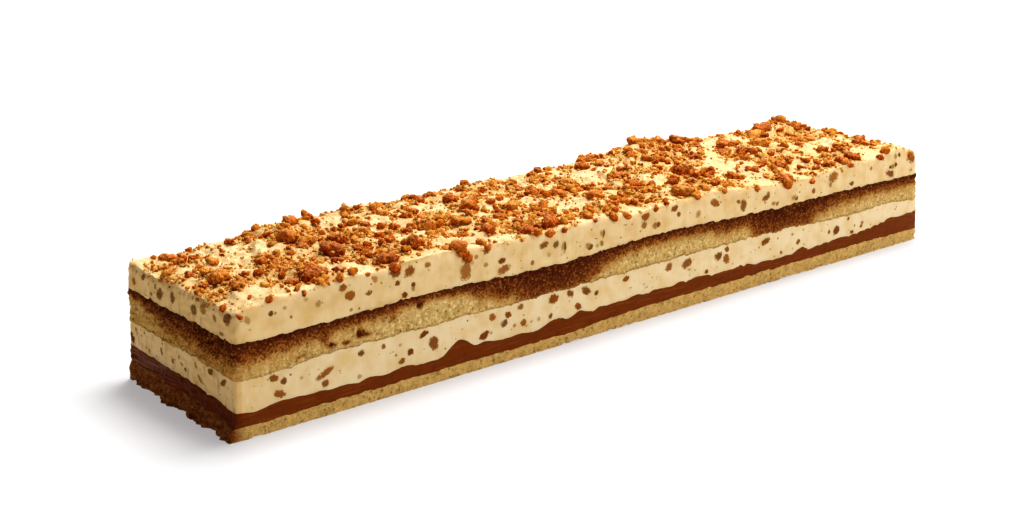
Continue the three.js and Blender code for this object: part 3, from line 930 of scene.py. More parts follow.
# Stains below the band on the front cut: (distance, height, half width, half height,
# strength). Most lie where a crumb has broken out low down in the sponge.
FRONT_STAINS = [
    (35, 29, 2.4, 4, 0.4), (38.5, 26, 2.4, 1.4, 0.8), (45, 25.6, 3, 1.3, 0.7),
    (51, 27.6, 2.2, 2, 0.95), (54, 26.6, 3, 1.2, 0.7), (26, 25, 5, 1.3, 0.5),
    (78, 32.3, 1.5, 1.4, 0.9), (66, 30, 2, 1.6, 0.5), (118, 29, 5, 3, 0.5),
    (168, 28, 4, 3, 0.4), (303, 31.4, 1.8, 1.5, 0.95), (316, 30, 3, 2.4, 0.4),
]
PITS = [(38.5, 25.8, 1.3), (51, 27.8, 1.5), (53.6, 26.6, 0.9), (44, 25.6, 0.9),
        (78, 32.4, 1.2), (27, 25.2, 0.8), (61, 31, 0.8), (121, 30.5, 1.0),
        (303, 31.5, 1.1), (190, 30.5, 0.8), (92, 29.5, 0.7), (244, 30.4, 0.8)]

points = points_of(sponge)
s, y, z = (points / MM - ORIGIN).T
for at, up, wide in PITS:
    hollow = np.exp(-((s - at) / wide) ** 2 - ((z - up) / wide) ** 2) * (y < FRONT_Y + 2)
    points[:, 1] += 1.5 * hollow * MM
move_points(sponge, points)

s, y, z = place_of(sponge)
ease = ((BACK_Y - y) / WIDTH) ** 2
reach = ease * read(SOAK_FRONT, s) + (1 - ease) * read(SOAK_BACK, s)
at_end = np.exp(-np.clip(s, 0, None) / 6)
reach = reach * (1 - at_end) + read(SOAK_END, y) * at_end
soak = (boundary("sponge", s, y) - z) / reach
for at, up, wide, high, strength in FRONT_STAINS:
    near_stain = np.exp(-((s - at) / wide) ** 2 - ((z - up) / high) ** 2)
    soak = soak * (1 - strength * near_stain * (y < FRONT_Y + 3))
sponge.data.attributes.new("soak", "FLOAT", "POINT").data.foreach_set(
    "value", np.clip(soak, 0, 4))
sponge.data.attributes.new("above_cream", "FLOAT", "POINT").data.foreach_set(
    "value", z - boundary("lower", s, y))
for layer, strength in ((base, 1.0), (ganache, 1.0), (sponge, 0.6)):
    near, across, up = place_of(layer)
    damp = strength * np.exp(-np.clip(near + 0.8, 0, None) / 1.6) * (near < 6)
    layer.data.attributes.new("damp", "FLOAT", "POINT").data.foreach_set("value", damp)
near, across, up = place_of(ganache)
smear = np.clip((across + 8) / 40, 0, 1) * (near < 2)
ganache.data.attributes.new("smear", "FLOAT", "POINT").data.foreach_set("value", smear)
# Drier cream and painted shade at the near end: the near end face, and the front face close to
# it, are made darker and yellower.
for layer in (upper_cream, lower_cream, upper_patches, lower_patches):
    near, across, up = place_of(layer)
    in_top = np.clip((boundary("top", near, across) - up) / 2, 0, 1)
    dried_shade = (0.75 * (near < 0.9) + 0.35 * np.exp(-np.clip(near, 0, None) / 14)) * in_top
    layer.data.attributes.new("dried_shade", "FLOAT", "POINT").data.foreach_set(
        "value", np.clip(dried_shade, 0, 1))
print("syrup reaches", reach.min().round(1), "to", reach.max().round(1), "mm deep")

# %% [markdown]
# Now the finishes. A few effects come back in several of them: fine grain, open
# pores and the knife's lines. Each is a node group with named inputs, built once.

# %% Helpers for building node trees
def add_node(tree, kind, x, y, **settings):
    """A node of one kind at a place in the tree, with its settings."""
    made = tree.nodes.new(kind)
    made.location = (x, y)
    for key, value in settings.items():
        setattr(made, key, value)
    return made


def new_group(name, inputs, outputs):
    """A node group with its input and output nodes; inputs are (name, kind, value)."""
    group = bpy.data.node_groups.new(name, "ShaderNodeTree")
    for label, kind, value in inputs:
        socket = group.interface.new_socket(label, in_out="INPUT", socket_type=kind)
        if value is not None:
            socket.default_value = value
    for label, kind in outputs:
        group.interface.new_socket(label, in_out="OUTPUT", socket_type=kind)
    return (group, add_node(group, "NodeGroupInput", -900, 0),
            add_node(group, "NodeGroupOutput", 700, 0))


def ramp(tree, x, y, stops):
    """A colour ramp from (position, colour) stops; a number stands for a grey."""
    made = add_node(tree, "ShaderNodeValToRGB", x, y)
    elements = made.color_ramp.elements
    while len(elements) < len(stops):
        elements.new(0.5)
    for element, (position, colour) in zip(elements, stops):
        element.position = position
        grey = isinstance(colour, (int, float))
        element.color = (colour, colour, colour, 1) if grey else (*colour, 1)
    return made


# %% Grain: a mottled value at two sizes, and a height for the bump
grain_group, grain_in, grain_out = new_group(
    "baked_grain",
    [("Place", "NodeSocketVector", None), ("Coarse", "NodeSocketFloat", 600.0),
     ("Fine", "NodeSocketFloat", 2600.0)],
    [("Mottle", "NodeSocketFloat"), ("Height", "NodeSocketFloat")])
coarse = add_node(grain_group, "ShaderNodeTexNoise", -600, 200)
coarse.inputs["Detail"].default_value = 3
fine = add_node(grain_group, "ShaderNodeTexNoise", -600, -100)
fine.inputs["Detail"].default_value = 2
both = add_node(grain_group, "ShaderNodeMath", -200, 100, operation="MULTIPLY_ADD")
both.inputs[1].default_value = 0.55
link = grain_group.links.new
link(grain_in.outputs["Place"], coarse.inputs["Vector"])
link(grain_in.outputs["Place"], fine.inputs["Vector"])
link(grain_in.outputs["Coarse"], coarse.inputs["Scale"])
link(grain_in.outputs["Fine"], fine.inputs["Scale"])
link(fine.outputs["Fac"], both.inputs[0])
half = add_node(grain_group, "ShaderNodeMath", -400, 250, operation="MULTIPLY")
half.inputs[1].default_value = 0.45
link(coarse.outputs["Fac"], half.inputs[0])
link(half.outputs[0], both.inputs[2])
link(both.outputs[0], grain_out.inputs["Mottle"])
link(both.outputs[0], grain_out.inputs["Height"])
print("group:", grain_group.name)

# %% Pores: dark round openings in a sponge, and their depth
pore_group, pore_in, pore_out = new_group(
    "sponge_pores",
    [("Place", "NodeSocketVector", None), ("Scale", "NodeSocketFloat", 700.0),
     ("Openness", "NodeSocketFloat", 0.35)],
    [("Pore", "NodeSocketFloat"), ("Tone", "NodeSocketFloat"),
     ("Height", "NodeSocketFloat")])
warp = add_node(pore_group, "ShaderNodeTexNoise", -700, -200)
warp.inputs["Scale"].default_value = 900
warp.inputs["Detail"].default_value = 2
shake = add_node(pore_group, "ShaderNodeVectorMath", -500, -100, operation="MULTIPLY_ADD")
shake.inputs[1].default_value = (0.0012, 0.0012, 0.0012)
cells = add_node(pore_group, "ShaderNodeTexVoronoi", -300, 100, feature="SMOOTH_F1")
size_of_pore = add_node(pore_group, "ShaderNodeMapRange", 0, 100)
size_of_pore.inputs["To Min"].default_value = 1
size_of_pore.inputs["To Max"].default_value = 0
depth = add_node(pore_group, "ShaderNodeMath", 300, -100, operation="SUBTRACT")
depth.inputs[0].default_value = 1
link = pore_group.links.new
link(pore_in.outputs["Place"], warp.inputs["Vector"])
link(warp.outputs["Color"], shake.inputs[0])
link(pore_in.outputs["Place"], shake.inputs[2])
link(shake.outputs[0], cells.inputs["Vector"])
link(pore_in.outputs["Scale"], cells.inputs["Scale"])
link(cells.outputs["Distance"], size_of_pore.inputs["Value"])
link(pore_in.outputs["Openness"], size_of_pore.inputs["From Max"])
link(size_of_pore.outputs["Result"], pore_out.inputs["Pore"])
link(cells.outputs["Color"], pore_out.inputs["Tone"])
link(size_of_pore.outputs["Result"], depth.inputs[1])
link(depth.outputs[0], pore_out.inputs["Height"])
print("group:", pore_group.name)

# %% Knife lines: streaks along one direction of a cut face
knife_group, knife_in, knife_out = new_group(
    "knife_lines",
    [("Place", "NodeSocketVector", None), ("Stretch", "NodeSocketVector", (700, 700, 60))],
    [("Line", "NodeSocketFloat")])
stretched = add_node(knife_group, "ShaderNodeVectorMath", -600, 0, operation="MULTIPLY")
streaks = add_node(knife_group, "ShaderNodeTexNoise", -300, 0)
streaks.inputs["Scale"].default_value = 1
streaks.inputs["Detail"].default_value = 4
streaks.inputs["Roughness"].default_value = 0.6
link = knife_group.links.new
link(knife_in.outputs["Place"], stretched.inputs[0])
link(knife_in.outputs["Stretch"], stretched.inputs[1])
link(stretched.outputs[0], streaks.inputs["Vector"])
link(streaks.outputs["Fac"], knife_out.inputs["Line"])
print("group:", knife_group.name)


# %% A finish to start from
def new_finish(name, roughness, shine):
    """A material with its place on the object, its surface shader and a bump."""
    finish = bpy.data.materials.new(name)
    finish.use_nodes = True
    tree = finish.node_tree
    shader = tree.nodes["Principled BSDF"]
    shader.location = (500, 0)
    shader.inputs["Roughness"].default_value = roughness
    shader.inputs["Specular IOR Level"].default_value = shine
    place = add_node(tree, "ShaderNodeTexCoord", -1300, 0)
    bump = add_node(tree, "ShaderNodeBump", 250, -300)
    tree.links.new(bump.outputs["Normal"], shader.inputs["Normal"])
    return finish, tree, shader, place.outputs["Object"], bump


def use_group(tree, group, x, y, place, **values):
    """A node group placed in a material, with its own values."""
    made = add_node(tree, "ShaderNodeGroup", x, y, node_tree=group)
    tree.links.new(place, made.inputs["Place"])
    for label, value in values.items():
        made.inputs[label].default_value = value
    return made


def blend(tree, x, y, factor, first, second, mode="MIX"):
    """A colour mix; each side is a socket or a colour."""
    made = add_node(tree, "ShaderNodeMix", x, y, data_type="RGBA", blend_type=mode)
    for slot_index, value in ((0, factor), (6, first), (7, second)):
        socket = made.inputs[slot_index]
        if isinstance(value, bpy.types.NodeSocket):
            tree.links.new(value, socket)
        elif slot_index == 0:
            socket.default_value = value
        else:
            socket.default_value = (*value, 1)
    return made.outputs[2]


def attribute(tree, x, y, name):
    """The value that the corners of a piece carry under this name."""
    return add_node(tree, "ShaderNodeAttribute", x, y, attribute_name=name).outputs["Fac"]


def maths(tree, x, y, operation, first, second, third=None):
    """A sum of numbers; each is a socket or a plain value."""
    made = add_node(tree, "ShaderNodeMath", x, y, operation=operation)
    for socket, value in zip(made.inputs, (first, second, third)):
        if isinstance(value, bpy.types.NodeSocket):
            tree.links.new(value, socket)
        elif value is not None:
            socket.default_value = value
    return made.outputs[0]


def stretch(tree, x, y, value, low, high, new_low=0.0, new_high=1.0):
    """Maps low to high onto a new range, with soft ends; low or high may be a socket."""
    made = add_node(tree, "ShaderNodeMapRange", x, y, interpolation_type="SMOOTHSTEP")
    for label, number in (("Value", value), ("From Min", low), ("From Max", high),
                          ("To Min", new_low), ("To Max", new_high)):
        if isinstance(number, bpy.types.NodeSocket):
            tree.links.new(number, made.inputs[label])
        else:
            made.inputs[label].default_value = number
    return made.outputs["Result"]


# %% [markdown]
# Cream lets some light in, which softens it. Its cut face has faint upright knife
# lines, tiny specks of crumb, and slightly yellower clouds. The same recipe makes
# both creams, and the top one adds the golden dust.

# %% The cream's own colour
TOP_CREAM = ((0.82, 0.64, 0.365), (0.73, 0.51, 0.23))
LOW_CREAM = ((0.85, 0.70, 0.45), (0.78, 0.58, 0.29))
CREAM_DRIED_SHADE = (0.80, 0.49, 0.14)
CREAM_SMUDGE = (0.54, 0.34, 0.11)
SPECK = (0.20, 0.11, 0.035)


def cream_colour(tree, place, tones):
    """Soft clouds, upright knife lines, tiny specks, and drier cream with painted shade at the
    near end.
    """
    pale, deep = tones
    clouds = add_node(tree, "ShaderNodeTexNoise", -1400, 500)
    clouds.inputs["Scale"].default_value = 130
    clouds.inputs["Detail"].default_value = 5
    tree.links.new(place, clouds.inputs["Vector"])
    colour = blend(tree, -900, 500, stretch(tree, -1150, 500, clouds.outputs["Fac"],
                                            0.35, 0.75), pale, deep)
    knife = use_group(tree, knife_group, -1400, 250, place, Stretch=(900, 900, 45))
    lines = stretch(tree, -1150, 250, knife.outputs["Line"], 0.45, 0.75, 0, 0.3)
    colour = blend(tree, -700, 400, lines, colour, deep)
    specks = add_node(tree, "ShaderNodeTexVoronoi", -1400, 0)
    specks.inputs["Scale"].default_value = 420
    tree.links.new(place, specks.inputs["Vector"])
    dots = stretch(tree, -1150, 0, specks.outputs["Distance"], 0.10, 0.20, 1, 0)
    chosen = maths(tree, -1150, -200, "GREATER_THAN", specks.outputs["Color"], 0.66)
    some = maths(tree, -900, -100, "MULTIPLY", dots, chosen)
    colour = blend(tree, -500, 300, maths(tree, -700, -100, "MULTIPLY", some, 0.6),
                   colour, SPECK)
    smudges = use_group(tree, knife_group, -1400, -400, place, Stretch=(330, 330, 110))
    smudge = stretch(tree, -1150, -400, smudges.outputs["Line"], 0.52, 0.74)
    # Painted shade and drier cream at the near end.
    dried_shade = attribute(tree, -1150, -600, "dried_shade")
    colour = blend(tree, -300, 300, maths(tree, -900, -400, "MULTIPLY", dried_shade, 0.55),
                   colour, CREAM_DRIED_SHADE)
    smudge = maths(tree, -700, -400, "MULTIPLY", smudge, dried_shade)
    return blend(tree, -100, 300, smudge, colour, CREAM_SMUDGE)


def soften(shader):
    """Light goes a little way into cream before it comes out again."""
    shader.inputs["Subsurface Weight"].default_value = 0.25
    shader.inputs["Subsurface Radius"].default_value = (1.0, 0.55, 0.25)
    shader.inputs["Subsurface Scale"].default_value = 0.0025


# %% The cream finish
DUST_LIGHT = (0.80, 0.57, 0.25)
DUST_DARK = (0.62, 0.35, 0.10)


def cream_finish(name, tones, dusty):
    """Set cream, and on the top one the golden dust."""
    finish, tree, shader, place, bump = new_finish(name, 0.45, 0.12)
    soften(shader)
    colour = cream_colour(tree, place, tones)
    grain = use_group(tree, grain_group, -1000, -700, place, Coarse=260.0, Fine=1500.0)
    if dusty:
        flecks = use_group(tree, grain_group, -1000, -1150, place, Coarse=800.0,
                           Fine=2200.0)
        thick = maths(tree, -700, -1000, "MULTIPLY_ADD", flecks.outputs["Mottle"], 2.4,
                      attribute(tree, -1000, -950, "dust"))
        tone = ramp(tree, -500, -1300, [(0.35, DUST_DARK), (0.6, DUST_LIGHT)])
        tree.links.new(grain.outputs["Mottle"], tone.inputs["Fac"])
        colour = blend(tree, 100, 100, stretch(tree, -500, -1000, thick, 1.45, 2.5),
                       colour, tone.outputs["Color"])
    tree.links.new(colour, shader.inputs["Base Color"])
    bump.inputs["Strength"].default_value = 0.225
    bump.inputs["Distance"].default_value = 0.0008
    tree.links.new(grain.outputs["Height"], bump.inputs["Height"])
    return finish


upper_cream.data.materials.append(cream_finish("set_cream_top", TOP_CREAM, True))
lower_cream.data.materials.append(cream_finish("set_cream", LOW_CREAM, False))

# %% [markdown]
# A cut crumb is the same cream at its outside. Towards the middle the baked crumb
# takes over, with a border torn by fine grain, sharp where the crumb is level with
# the cut and blurred and greyer the deeper it is sunk.

# %% The finish of the crumbs cut through
CUT_DARK = (0.15, 0.034, 0.004)
CUT_BROWN = (0.27, 0.078, 0.010)
CUT_LIGHT = (0.44, 0.175, 0.032)
CUT_GOLD = (0.62, 0.39, 0.125)
CUT_SUNK = (0.44, 0.27, 0.085)


def cut_finish(name, tones):
    """Cream at the outside of a spot and baked crumb in its middle."""
    finish, tree, shader, place, bump = new_finish(name, 0.6, 0.04)
    soften(shader)
    cream = cream_colour(tree, place, tones)
    grain = use_group(tree, grain_group, -1000, -500, place, Coarse=900.0, Fine=2600.0)
    veil = attribute(tree, -1000, -750, "veil")
    rough = use_group(tree, grain_group, -1000, -300, place, Coarse=330.0, Fine=1000.0)
    torn = stretch(tree, -750, -500, rough.outputs["Mottle"], 0.3, 0.7, -0.22, 0.22)
    inward = maths(tree, -550, -500, "ADD", attribute(tree, -1000, -900, "middle"), torn)
    golden = stretch(tree, -350, -300, inward, 0.08, 0.34, 0, 0.75)
    border = maths(tree, -550, -700, "MULTIPLY_ADD", veil, 0.5, 0.42)
    spot = stretch(tree, -350, -500, inward, 0.22, border)
    clear = maths(tree, -350, -750, "MULTIPLY_ADD", veil, -0.7, 1.0)
    tone = maths(tree, -550, -1000, "MULTIPLY_ADD",
                 attribute(tree, -1000, -1050, "tone"), 0.5,
                 maths(tree, -750, -1150, "MULTIPLY", grain.outputs["Mottle"], 0.5))
    baked = ramp(tree, -350, -1000, [(0.2, CUT_DARK), (0.45, CUT_BROWN),
                                     (0.75, CUT_LIGHT)])
    tree.links.new(tone, baked.inputs["Fac"])
    baked = blend(tree, -50, -900, veil, baked.outputs["Color"], CUT_SUNK)
    colour = blend(tree, 50, 100, maths(tree, -150, -350, "MULTIPLY", golden, clear),
                   cream, CUT_GOLD)
    colour = blend(tree, 200, 0, maths(tree, -150, -550, "MULTIPLY", spot, clear),
                   colour, baked)
    tree.links.new(colour, shader.inputs["Base Color"])
    bump.inputs["Strength"].default_value = 0.4
    bump.inputs["Distance"].default_value = 0.0005
    tree.links.new(maths(tree, 0, -400, "MULTIPLY", grain.outputs["Height"], spot),
                   bump.inputs["Height"])
    return finish


upper_patches.data.materials.append(cut_finish("cut_crumb_in_top_cream", TOP_CREAM))
lower_patches.data.materials.append(cut_finish("cut_crumb_in_cream", LOW_CREAM))

# %% [markdown]
# Sponge is matt and full of small pores. In the middle layer the syrup's band is
# laid over it: almost black-brown under the cream, red-brown and ragged below, with
# a thin golden line where the sponge rests on the lower cream.

# %% The sponge finishes
CRUMB_YELLOW = (0.78, 0.57, 0.235)
CRUMB_SHADE = (0.57, 0.37, 0.125)
CRUMB_PALE = (0.90, 0.76, 0.44)
SYRUP_DARK = (0.115, 0.026, 0.010)
SYRUP_MIDDLE = (0.34, 0.115, 0.024)
SYRUP_EDGE = (0.52, 0.25, 0.055)
CRUST = (0.48, 0.25, 0.075)
DAMP_BASE = (0.24, 0.048, 0.004)
DAMP_SPONGE = (0.60, 0.30, 0.055)


def sponge_finish(name, soaked, light, shade):
    """Matt crumb with pores, and in the middle layer the syrup that soaked in."""
    finish, tree, shader, place, bump = new_finish(name, 0.9, 0.02)
    shader.inputs["Subsurface Weight"].default_value = 0.08
    shader.inputs["Subsurface Scale"].default_value = 0.0015
    shader.inputs["Subsurface Radius"].default_value = (1.0, 0.5, 0.2)
    grain = use_group(tree, grain_group, -1200, 300, place, Coarse=420.0, Fine=1900.0)
    mottle = stretch(tree, -950, 300, grain.outputs["Mottle"], 0.36, 0.62)
    colour = blend(tree, -700, 300, mottle, shade, light)
    cells = use_group(tree, pore_group, -1200, 0, place, Scale=1050.0, Openness=0.5)
    pale = stretch(tree, -950, 0, cells.outputs["Tone"], 0.45, 0.8, 0, 0.8)
    colour = blend(tree, -500, 250, pale, colour, CRUMB_PALE if soaked else light)
    holes = use_group(tree, pore_group, -1200, -250, place, Scale=520.0, Openness=0.34)
    shaded_hole = maths(tree, -950, -250, "GREATER_THAN", holes.outputs["Tone"], 0.52)
    shaded_hole = maths(tree, -750, -250, "MULTIPLY", shaded_hole, holes.outputs["Pore"])
    # Painted shade: the open holes in the sponge are darkened.
    colour = blend(tree, -300, 200, maths(tree, -550, -200, "MULTIPLY", shaded_hole, 0.8),
                   colour, tuple(0.4 * c for c in shade))
    if soaked:
        ragged = use_group(tree, grain_group, -1200, -550, place, Coarse=330.0,
                           Fine=1300.0)
        colour = blend(tree, -200, 350, attribute(tree, -1200, -1250, "damp"), colour,
                       DAMP_SPONGE)
        edge = maths(tree, -950, -500, "MULTIPLY_ADD", ragged.outputs["Mottle"], 1.9,
                     attribute(tree, -1200, -750, "soak"))
        depth_in = maths(tree, -750, -500, "MULTIPLY", edge, 0.3)
        golden = ramp(tree, -500, -450, [(0.60, 0.9), (0.95, 0.0)])
        tree.links.new(depth_in, golden.inputs["Fac"])
        colour = blend(tree, -100, 150, golden.outputs["Color"], colour, SYRUP_EDGE)
        band = ramp(tree, -500, -700, [(0.50, 1.0), (0.62, 0.85), (0.73, 0.0)])
        tree.links.new(depth_in, band.inputs["Fac"])
        syrup = ramp(tree, -500, -950, [(0.34, SYRUP_DARK), (0.52, SYRUP_MIDDLE),
                                        (0.70, SYRUP_EDGE)])
        tree.links.new(depth_in, syrup.inputs["Fac"])
        lit = stretch(tree, -700, -1200, cells.outputs["Tone"], 0.45, 0.75, 0, 0.55)
        wet = blend(tree, -200, -900, lit, syrup.outputs["Color"], SYRUP_EDGE)
        # Painted shade: the gaps between the grains of the syrup band are darkened.
        shaded_gap = stretch(tree, -700, -1400, cells.outputs["Pore"], 0.0, 0.25, 0.75, 0)
        wet = blend(tree, 0, -900, shaded_gap, wet, SYRUP_DARK)
        colour = blend(tree, 100, 100, band.outputs["Color"], colour, wet)
        low_edge = maths(tree, -950, -1000, "MULTIPLY_ADD", ragged.outputs["Mottle"], -2.2,
                         attribute(tree, -1200, -1000, "above_cream"))
        crust = stretch(tree, -500, -1200, low_edge, -0.9, 0.1, 0.6, 0)
        colour = blend(tree, 250, 100, crust, colour, CRUST)
    else:
        uneven = stretch(tree, -950, -600, grain.outputs["Mottle"], 0.35, 0.6, 1, 0.72)
        damp = maths(tree, -700, -550, "MULTIPLY", uneven,
                     attribute(tree, -1200, -500, "damp"))
        colour = blend(tree, 0, 100, damp, colour, DAMP_BASE)
    tree.links.new(colour, shader.inputs["Base Color"])
    relief = maths(tree, 0, -300, "MULTIPLY_ADD", cells.outputs["Pore"], 0.6,
                   grain.outputs["Height"])
    relief = maths(tree, 100, -400, "SUBTRACT", relief, shaded_hole)
    bump.inputs["Strength"].default_value = 0.8
    bump.inputs["Distance"].default_value = 0.0007
    tree.links.new(relief, bump.inputs["Height"])
    return finish


sponge.data.materials.append(
    sponge_finish("soaked_sponge_crumb", True, CRUMB_YELLOW, CRUMB_SHADE))
base.data.materials.append(
    sponge_finish("dry_sponge_crumb", False, (0.80, 0.55, 0.215), (0.56, 0.36, 0.125)))

# %% [markdown]
# Ganache is smooth and only a little glossy, with lines that the knife drew along it
# and faint darker flecks. At the near end it is darker with moisture, and the knife
# smeared threads of cream over it.

# %% The ganache finish
GANACHE = (0.215, 0.056, 0.0075)
GANACHE_LIGHT = (0.29, 0.086, 0.016)
GANACHE_SMEAR = (0.50, 0.32, 0.20)
GANACHE_DAMP = (0.13, 0.022, 0.008)

ganache_finish, tree, shader, place, bump = new_finish("chocolate_ganache", 0.45, 0.04)
drag = use_group(tree, knife_group, -900, 0, place, Stretch=(70, 70, 1100))
lines = stretch(tree, -650, 0, drag.outputs["Line"], 0.45, 0.75)
colour = blend(tree, -500, 100, lines, GANACHE, GANACHE_LIGHT)
damp = maths(tree, -500, 300, "MULTIPLY", attribute(tree, -900, 300, "damp"), 0.5)
colour = blend(tree, -300, 0, damp, colour, GANACHE_DAMP)
flecks = use_group(tree, grain_group, -900, 600, place, Coarse=420.0, Fine=1500.0)
colour = blend(tree, -200, 200, stretch(tree, -650, 600, flecks.outputs["Mottle"],
                                        0.36, 0.48, 0.35, 0), colour, GANACHE_DAMP)
threads = use_group(tree, knife_group, -900, -300, place, Stretch=(60, 60, 2300))
smear = stretch(tree, -650, -300, threads.outputs["Line"], 0.50, 0.62)
smear = maths(tree, -450, -300, "MULTIPLY", smear, attribute(tree, -900, -500, "smear"))
tree.links.new(blend(tree, -100, 0, maths(tree, -300, -300, "MULTIPLY", smear, 0.5),
                     colour, GANACHE_SMEAR), shader.inputs["Base Color"])
bump.inputs["Strength"].default_value = 0.25
bump.inputs["Distance"].default_value = 0.0005
tree.links.new(drag.outputs["Line"], bump.inputs["Height"])
ganache.data.materials.append(ganache_finish)

# %% [markdown]
# Baked crumbs run from golden to dark red-brown, one tone for each crumb. They are
# grainy, and painted shade makes them darker and redder underneath. The top of the
# large ones is painted paler, as a highlight. A little light passes through them,
# which warms their shadows.

# %% The crumb finish
CRUMB_DARK = (0.31, 0.036, 0.002)
CRUMB_BROWN = (0.56, 0.155, 0.014)
CRUMB_GOLD = (0.83, 0.46, 0.10)
CRUMB_PALE_GOLD = (0.90, 0.67, 0.31)
UNDERSIDE_PAINTED_SHADE = (0.66, 0.32, 0.20)
PAINTED_TOP_HIGHLIGHT = (0.78, 0.51, 0.29)


def crumb_finish(name, coarse, top_highlight):
    """A baked crumb, painted paler on top as a highlight where the last value is above 0."""
    finish, tree, shader, place, bump = new_finish(name, 0.9, 0.03)
    shader.inputs["Subsurface Weight"].default_value = 0.2
    shader.inputs["Subsurface Radius"].default_value = (1.0, 0.35, 0.08)
    shader.inputs["Subsurface Scale"].default_value = 0.0012
    grain = use_group(tree, grain_group, -1000, -100, place, Coarse=coarse, Fine=3200.0)
    spread = stretch(tree, -750, -100, grain.outputs["Mottle"], 0.3, 0.7, 0, 0.6)
    mixed = maths(tree, -550, 100, "MULTIPLY_ADD", attribute(tree, -1000, 200, "tone"),
                  0.5, spread)
    baked = ramp(tree, -350, 100, [(0.1, CRUMB_DARK), (0.4, CRUMB_BROWN),
                                   (0.8, CRUMB_GOLD), (1.0, CRUMB_PALE_GOLD)])
    tree.links.new(mixed, baked.inputs["Fac"])
    # Painted shade: the underside of every crumb is made darker and redder.
    lift = attribute(tree, -1000, -400, "lift")
    low = stretch(tree, -750, -400, lift, 0.1, 0.65, 1, 0)
    colour = blend(tree, 0, 100, low, baked.outputs["Color"], UNDERSIDE_PAINTED_SHADE, "MULTIPLY")
    # Painted highlight: the top of each large crumb is made paler.
    if top_highlight:
        high = stretch(tree, -750, -650, lift, 0.6, 0.95)
        highlit = maths(tree, -500, -600, "MULTIPLY", high, spread)
        colour = blend(tree, 200, 100, maths(tree, -300, -600, "MULTIPLY", highlit, top_highlight),
                       colour, PAINTED_TOP_HIGHLIGHT)
    tree.links.new(colour, shader.inputs["Base Color"])
    bump.inputs["Strength"].default_value = 0.8
    bump.inputs["Distance"].default_value = 0.0006
    tree.links.new(grain.outputs["Height"], bump.inputs["Height"])
    return finish


nugget_finish = crumb_finish("baked_nugget", 900.0, 0.7)
for piece in (large_crumbs, rim_crumbs):
    piece.data.materials.append(nugget_finish)
loose_finish = crumb_finish("baked_crumb", 900.0, 0)
for piece in (medium_crumbs, small_crumbs, fine_crumble):
    piece.data.materials.append(loose_finish)

# %% [markdown]
# The cake stands on a white studio table that glows, as painted light, which keeps its
# shadow pale and the far floor white. The glow is weaker close to the cake, where the
# shadow lies. The main light comes from above on the right, so the top is bright and the
# near end lies in shade. A broad soft light from the front fills the long cut face,
# and a weak one from behind gives the crumbs and the cream's ridges their sheen. The
# room is white where the camera sees it, but it gives only a little light itself.

# %% The floor
GLOW_NEAR, GLOW_FAR = 0.27, 0.95
start_clean()
bpy.ops.mesh.primitive_plane_add(size=12, location=(0, 0, 0))
floor = bpy.context.object
floor.name = "studio_floor"
floor_finish, tree, shader, place, bump = new_finish("white_paper", 0.9, 0.1)
paper = use_group(tree, grain_group, -600, 0, place, Coarse=3.0, Fine=40.0)
white = ramp(tree, -300, 0, [(0.3, 0.52), (0.7, 0.54)])
tree.links.new(paper.outputs["Mottle"], white.inputs["Fac"])
tree.links.new(white.outputs["Color"], shader.inputs["Base Color"])
# Painted light: the floor glows, less near the cake where its shadow lies.
away = add_node(tree, "ShaderNodeVectorMath", -700, -300, operation="LENGTH")
tree.links.new(place, away.inputs[0])
glow = stretch(tree, -500, -300, away.outputs["Value"], 0.2, 0.9, GLOW_NEAR, GLOW_FAR)
glow_grey = ramp(tree, -300, -300, [(0.0, 0.0), (1.0, 1.0)])
tree.links.new(glow, glow_grey.inputs["Fac"])
tree.links.new(blend(tree, 0, -300, 1.0, glow_grey.outputs["Color"], (0.97, 0.97, 1.0),
                     "MULTIPLY"), shader.inputs["Emission Color"])
shader.inputs["Emission Strength"].default_value = 1.0
floor.data.materials.append(floor_finish)

# %% The lights
MIDDLE = Vector((0.0, 0.0, 0.025))


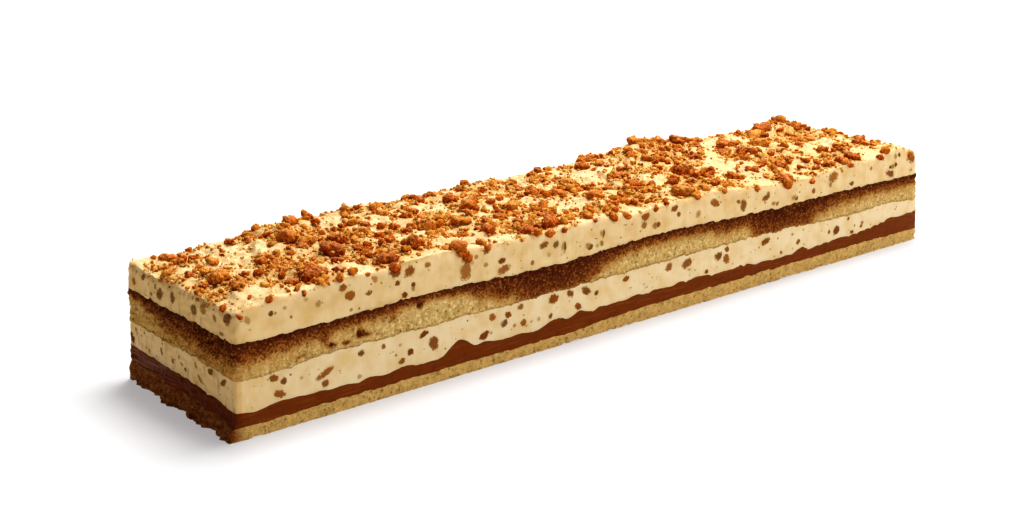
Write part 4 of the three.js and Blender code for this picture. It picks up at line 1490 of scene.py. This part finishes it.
def soft_light(name, azimuth, elevation, distance, size, power, colour=(1, 1, 1)):
    """A square soft light that looks at the middle of the cake."""
    a, e = math.radians(azimuth), math.radians(elevation)
    away = Vector((math.sin(a) * math.cos(e), -math.cos(a) * math.cos(e), math.sin(e)))
    lamp = bpy.data.lights.new(name, "AREA")
    lamp.size = size
    lamp.energy = power
    lamp.color = colour
    holder = bpy.data.objects.new(name, lamp)
    bpy.context.collection.objects.link(holder)
    holder.location = MIDDLE + away * distance
    holder.rotation_euler = away.to_track_quat("Z", "Y").to_euler()
    return holder


soft_light("key_light", 108, 70, 1.3, 0.7, 17.3, (1.0, 0.98, 0.97))
soft_light("front_fill", 22, 22, 1.15, 0.7, 3.3, (1.0, 0.97, 0.94))
soft_light("back_sheen", 146, 24, 1.2, 0.7, 3.0)

ROOM_LIGHT = 0.14
world = bpy.data.worlds.new("studio")
bpy.context.scene.world = world
world.use_nodes = True
room = world.node_tree.nodes["Background"]
room.inputs["Color"].default_value = (0.98, 0.94, 0.96, 1)
seen = add_node(world.node_tree, "ShaderNodeLightPath", -600, 0)
strength = maths(world.node_tree, -300, 0, "MULTIPLY_ADD", seen.outputs["Is Camera Ray"],
                 1 - ROOM_LIGHT, ROOM_LIGHT)
world.node_tree.links.new(strength, room.inputs["Strength"])
bpy.context.scene.view_settings.view_transform = "Standard"
bpy.context.scene.view_settings.look = "High Contrast"

# %% [markdown]
# The camera stands where the photograph was taken from. Four straight edges of the
# cake, set against their known sizes, give its direction, distance and lens.

# %% The camera
CAMERA_AZIMUTH, CAMERA_ELEVATION = -40.59, 16.64
CAMERA_DISTANCE = 636.9
LOOK_AT = np.array([-37.7, 0.0, 26.3])
FOCAL_PIXELS, IMAGE_WIDTH, SENSOR = 1496.0, 1024, 36.0

target = Vector((LOOK_AT + ORIGIN + [LENGTH / 2, 0, 0]) * MM)
a, e = math.radians(CAMERA_AZIMUTH), math.radians(CAMERA_ELEVATION)
back = Vector((math.sin(a) * math.cos(e), -math.cos(a) * math.cos(e), math.sin(e)))
lens = bpy.data.cameras.new("photo_camera")
lens.sensor_width = SENSOR
lens.lens = FOCAL_PIXELS / IMAGE_WIDTH * SENSOR
lens.clip_start = 0.02
camera = bpy.data.objects.new("photo_camera", lens)
bpy.context.collection.objects.link(camera)
camera.location = target + back * CAMERA_DISTANCE * MM
camera.rotation_euler = back.to_track_quat("Z", "Y").to_euler()
bpy.context.scene.camera = camera
print("camera at", [round(c, 3) for c in camera.location], "lens", round(lens.lens, 1))
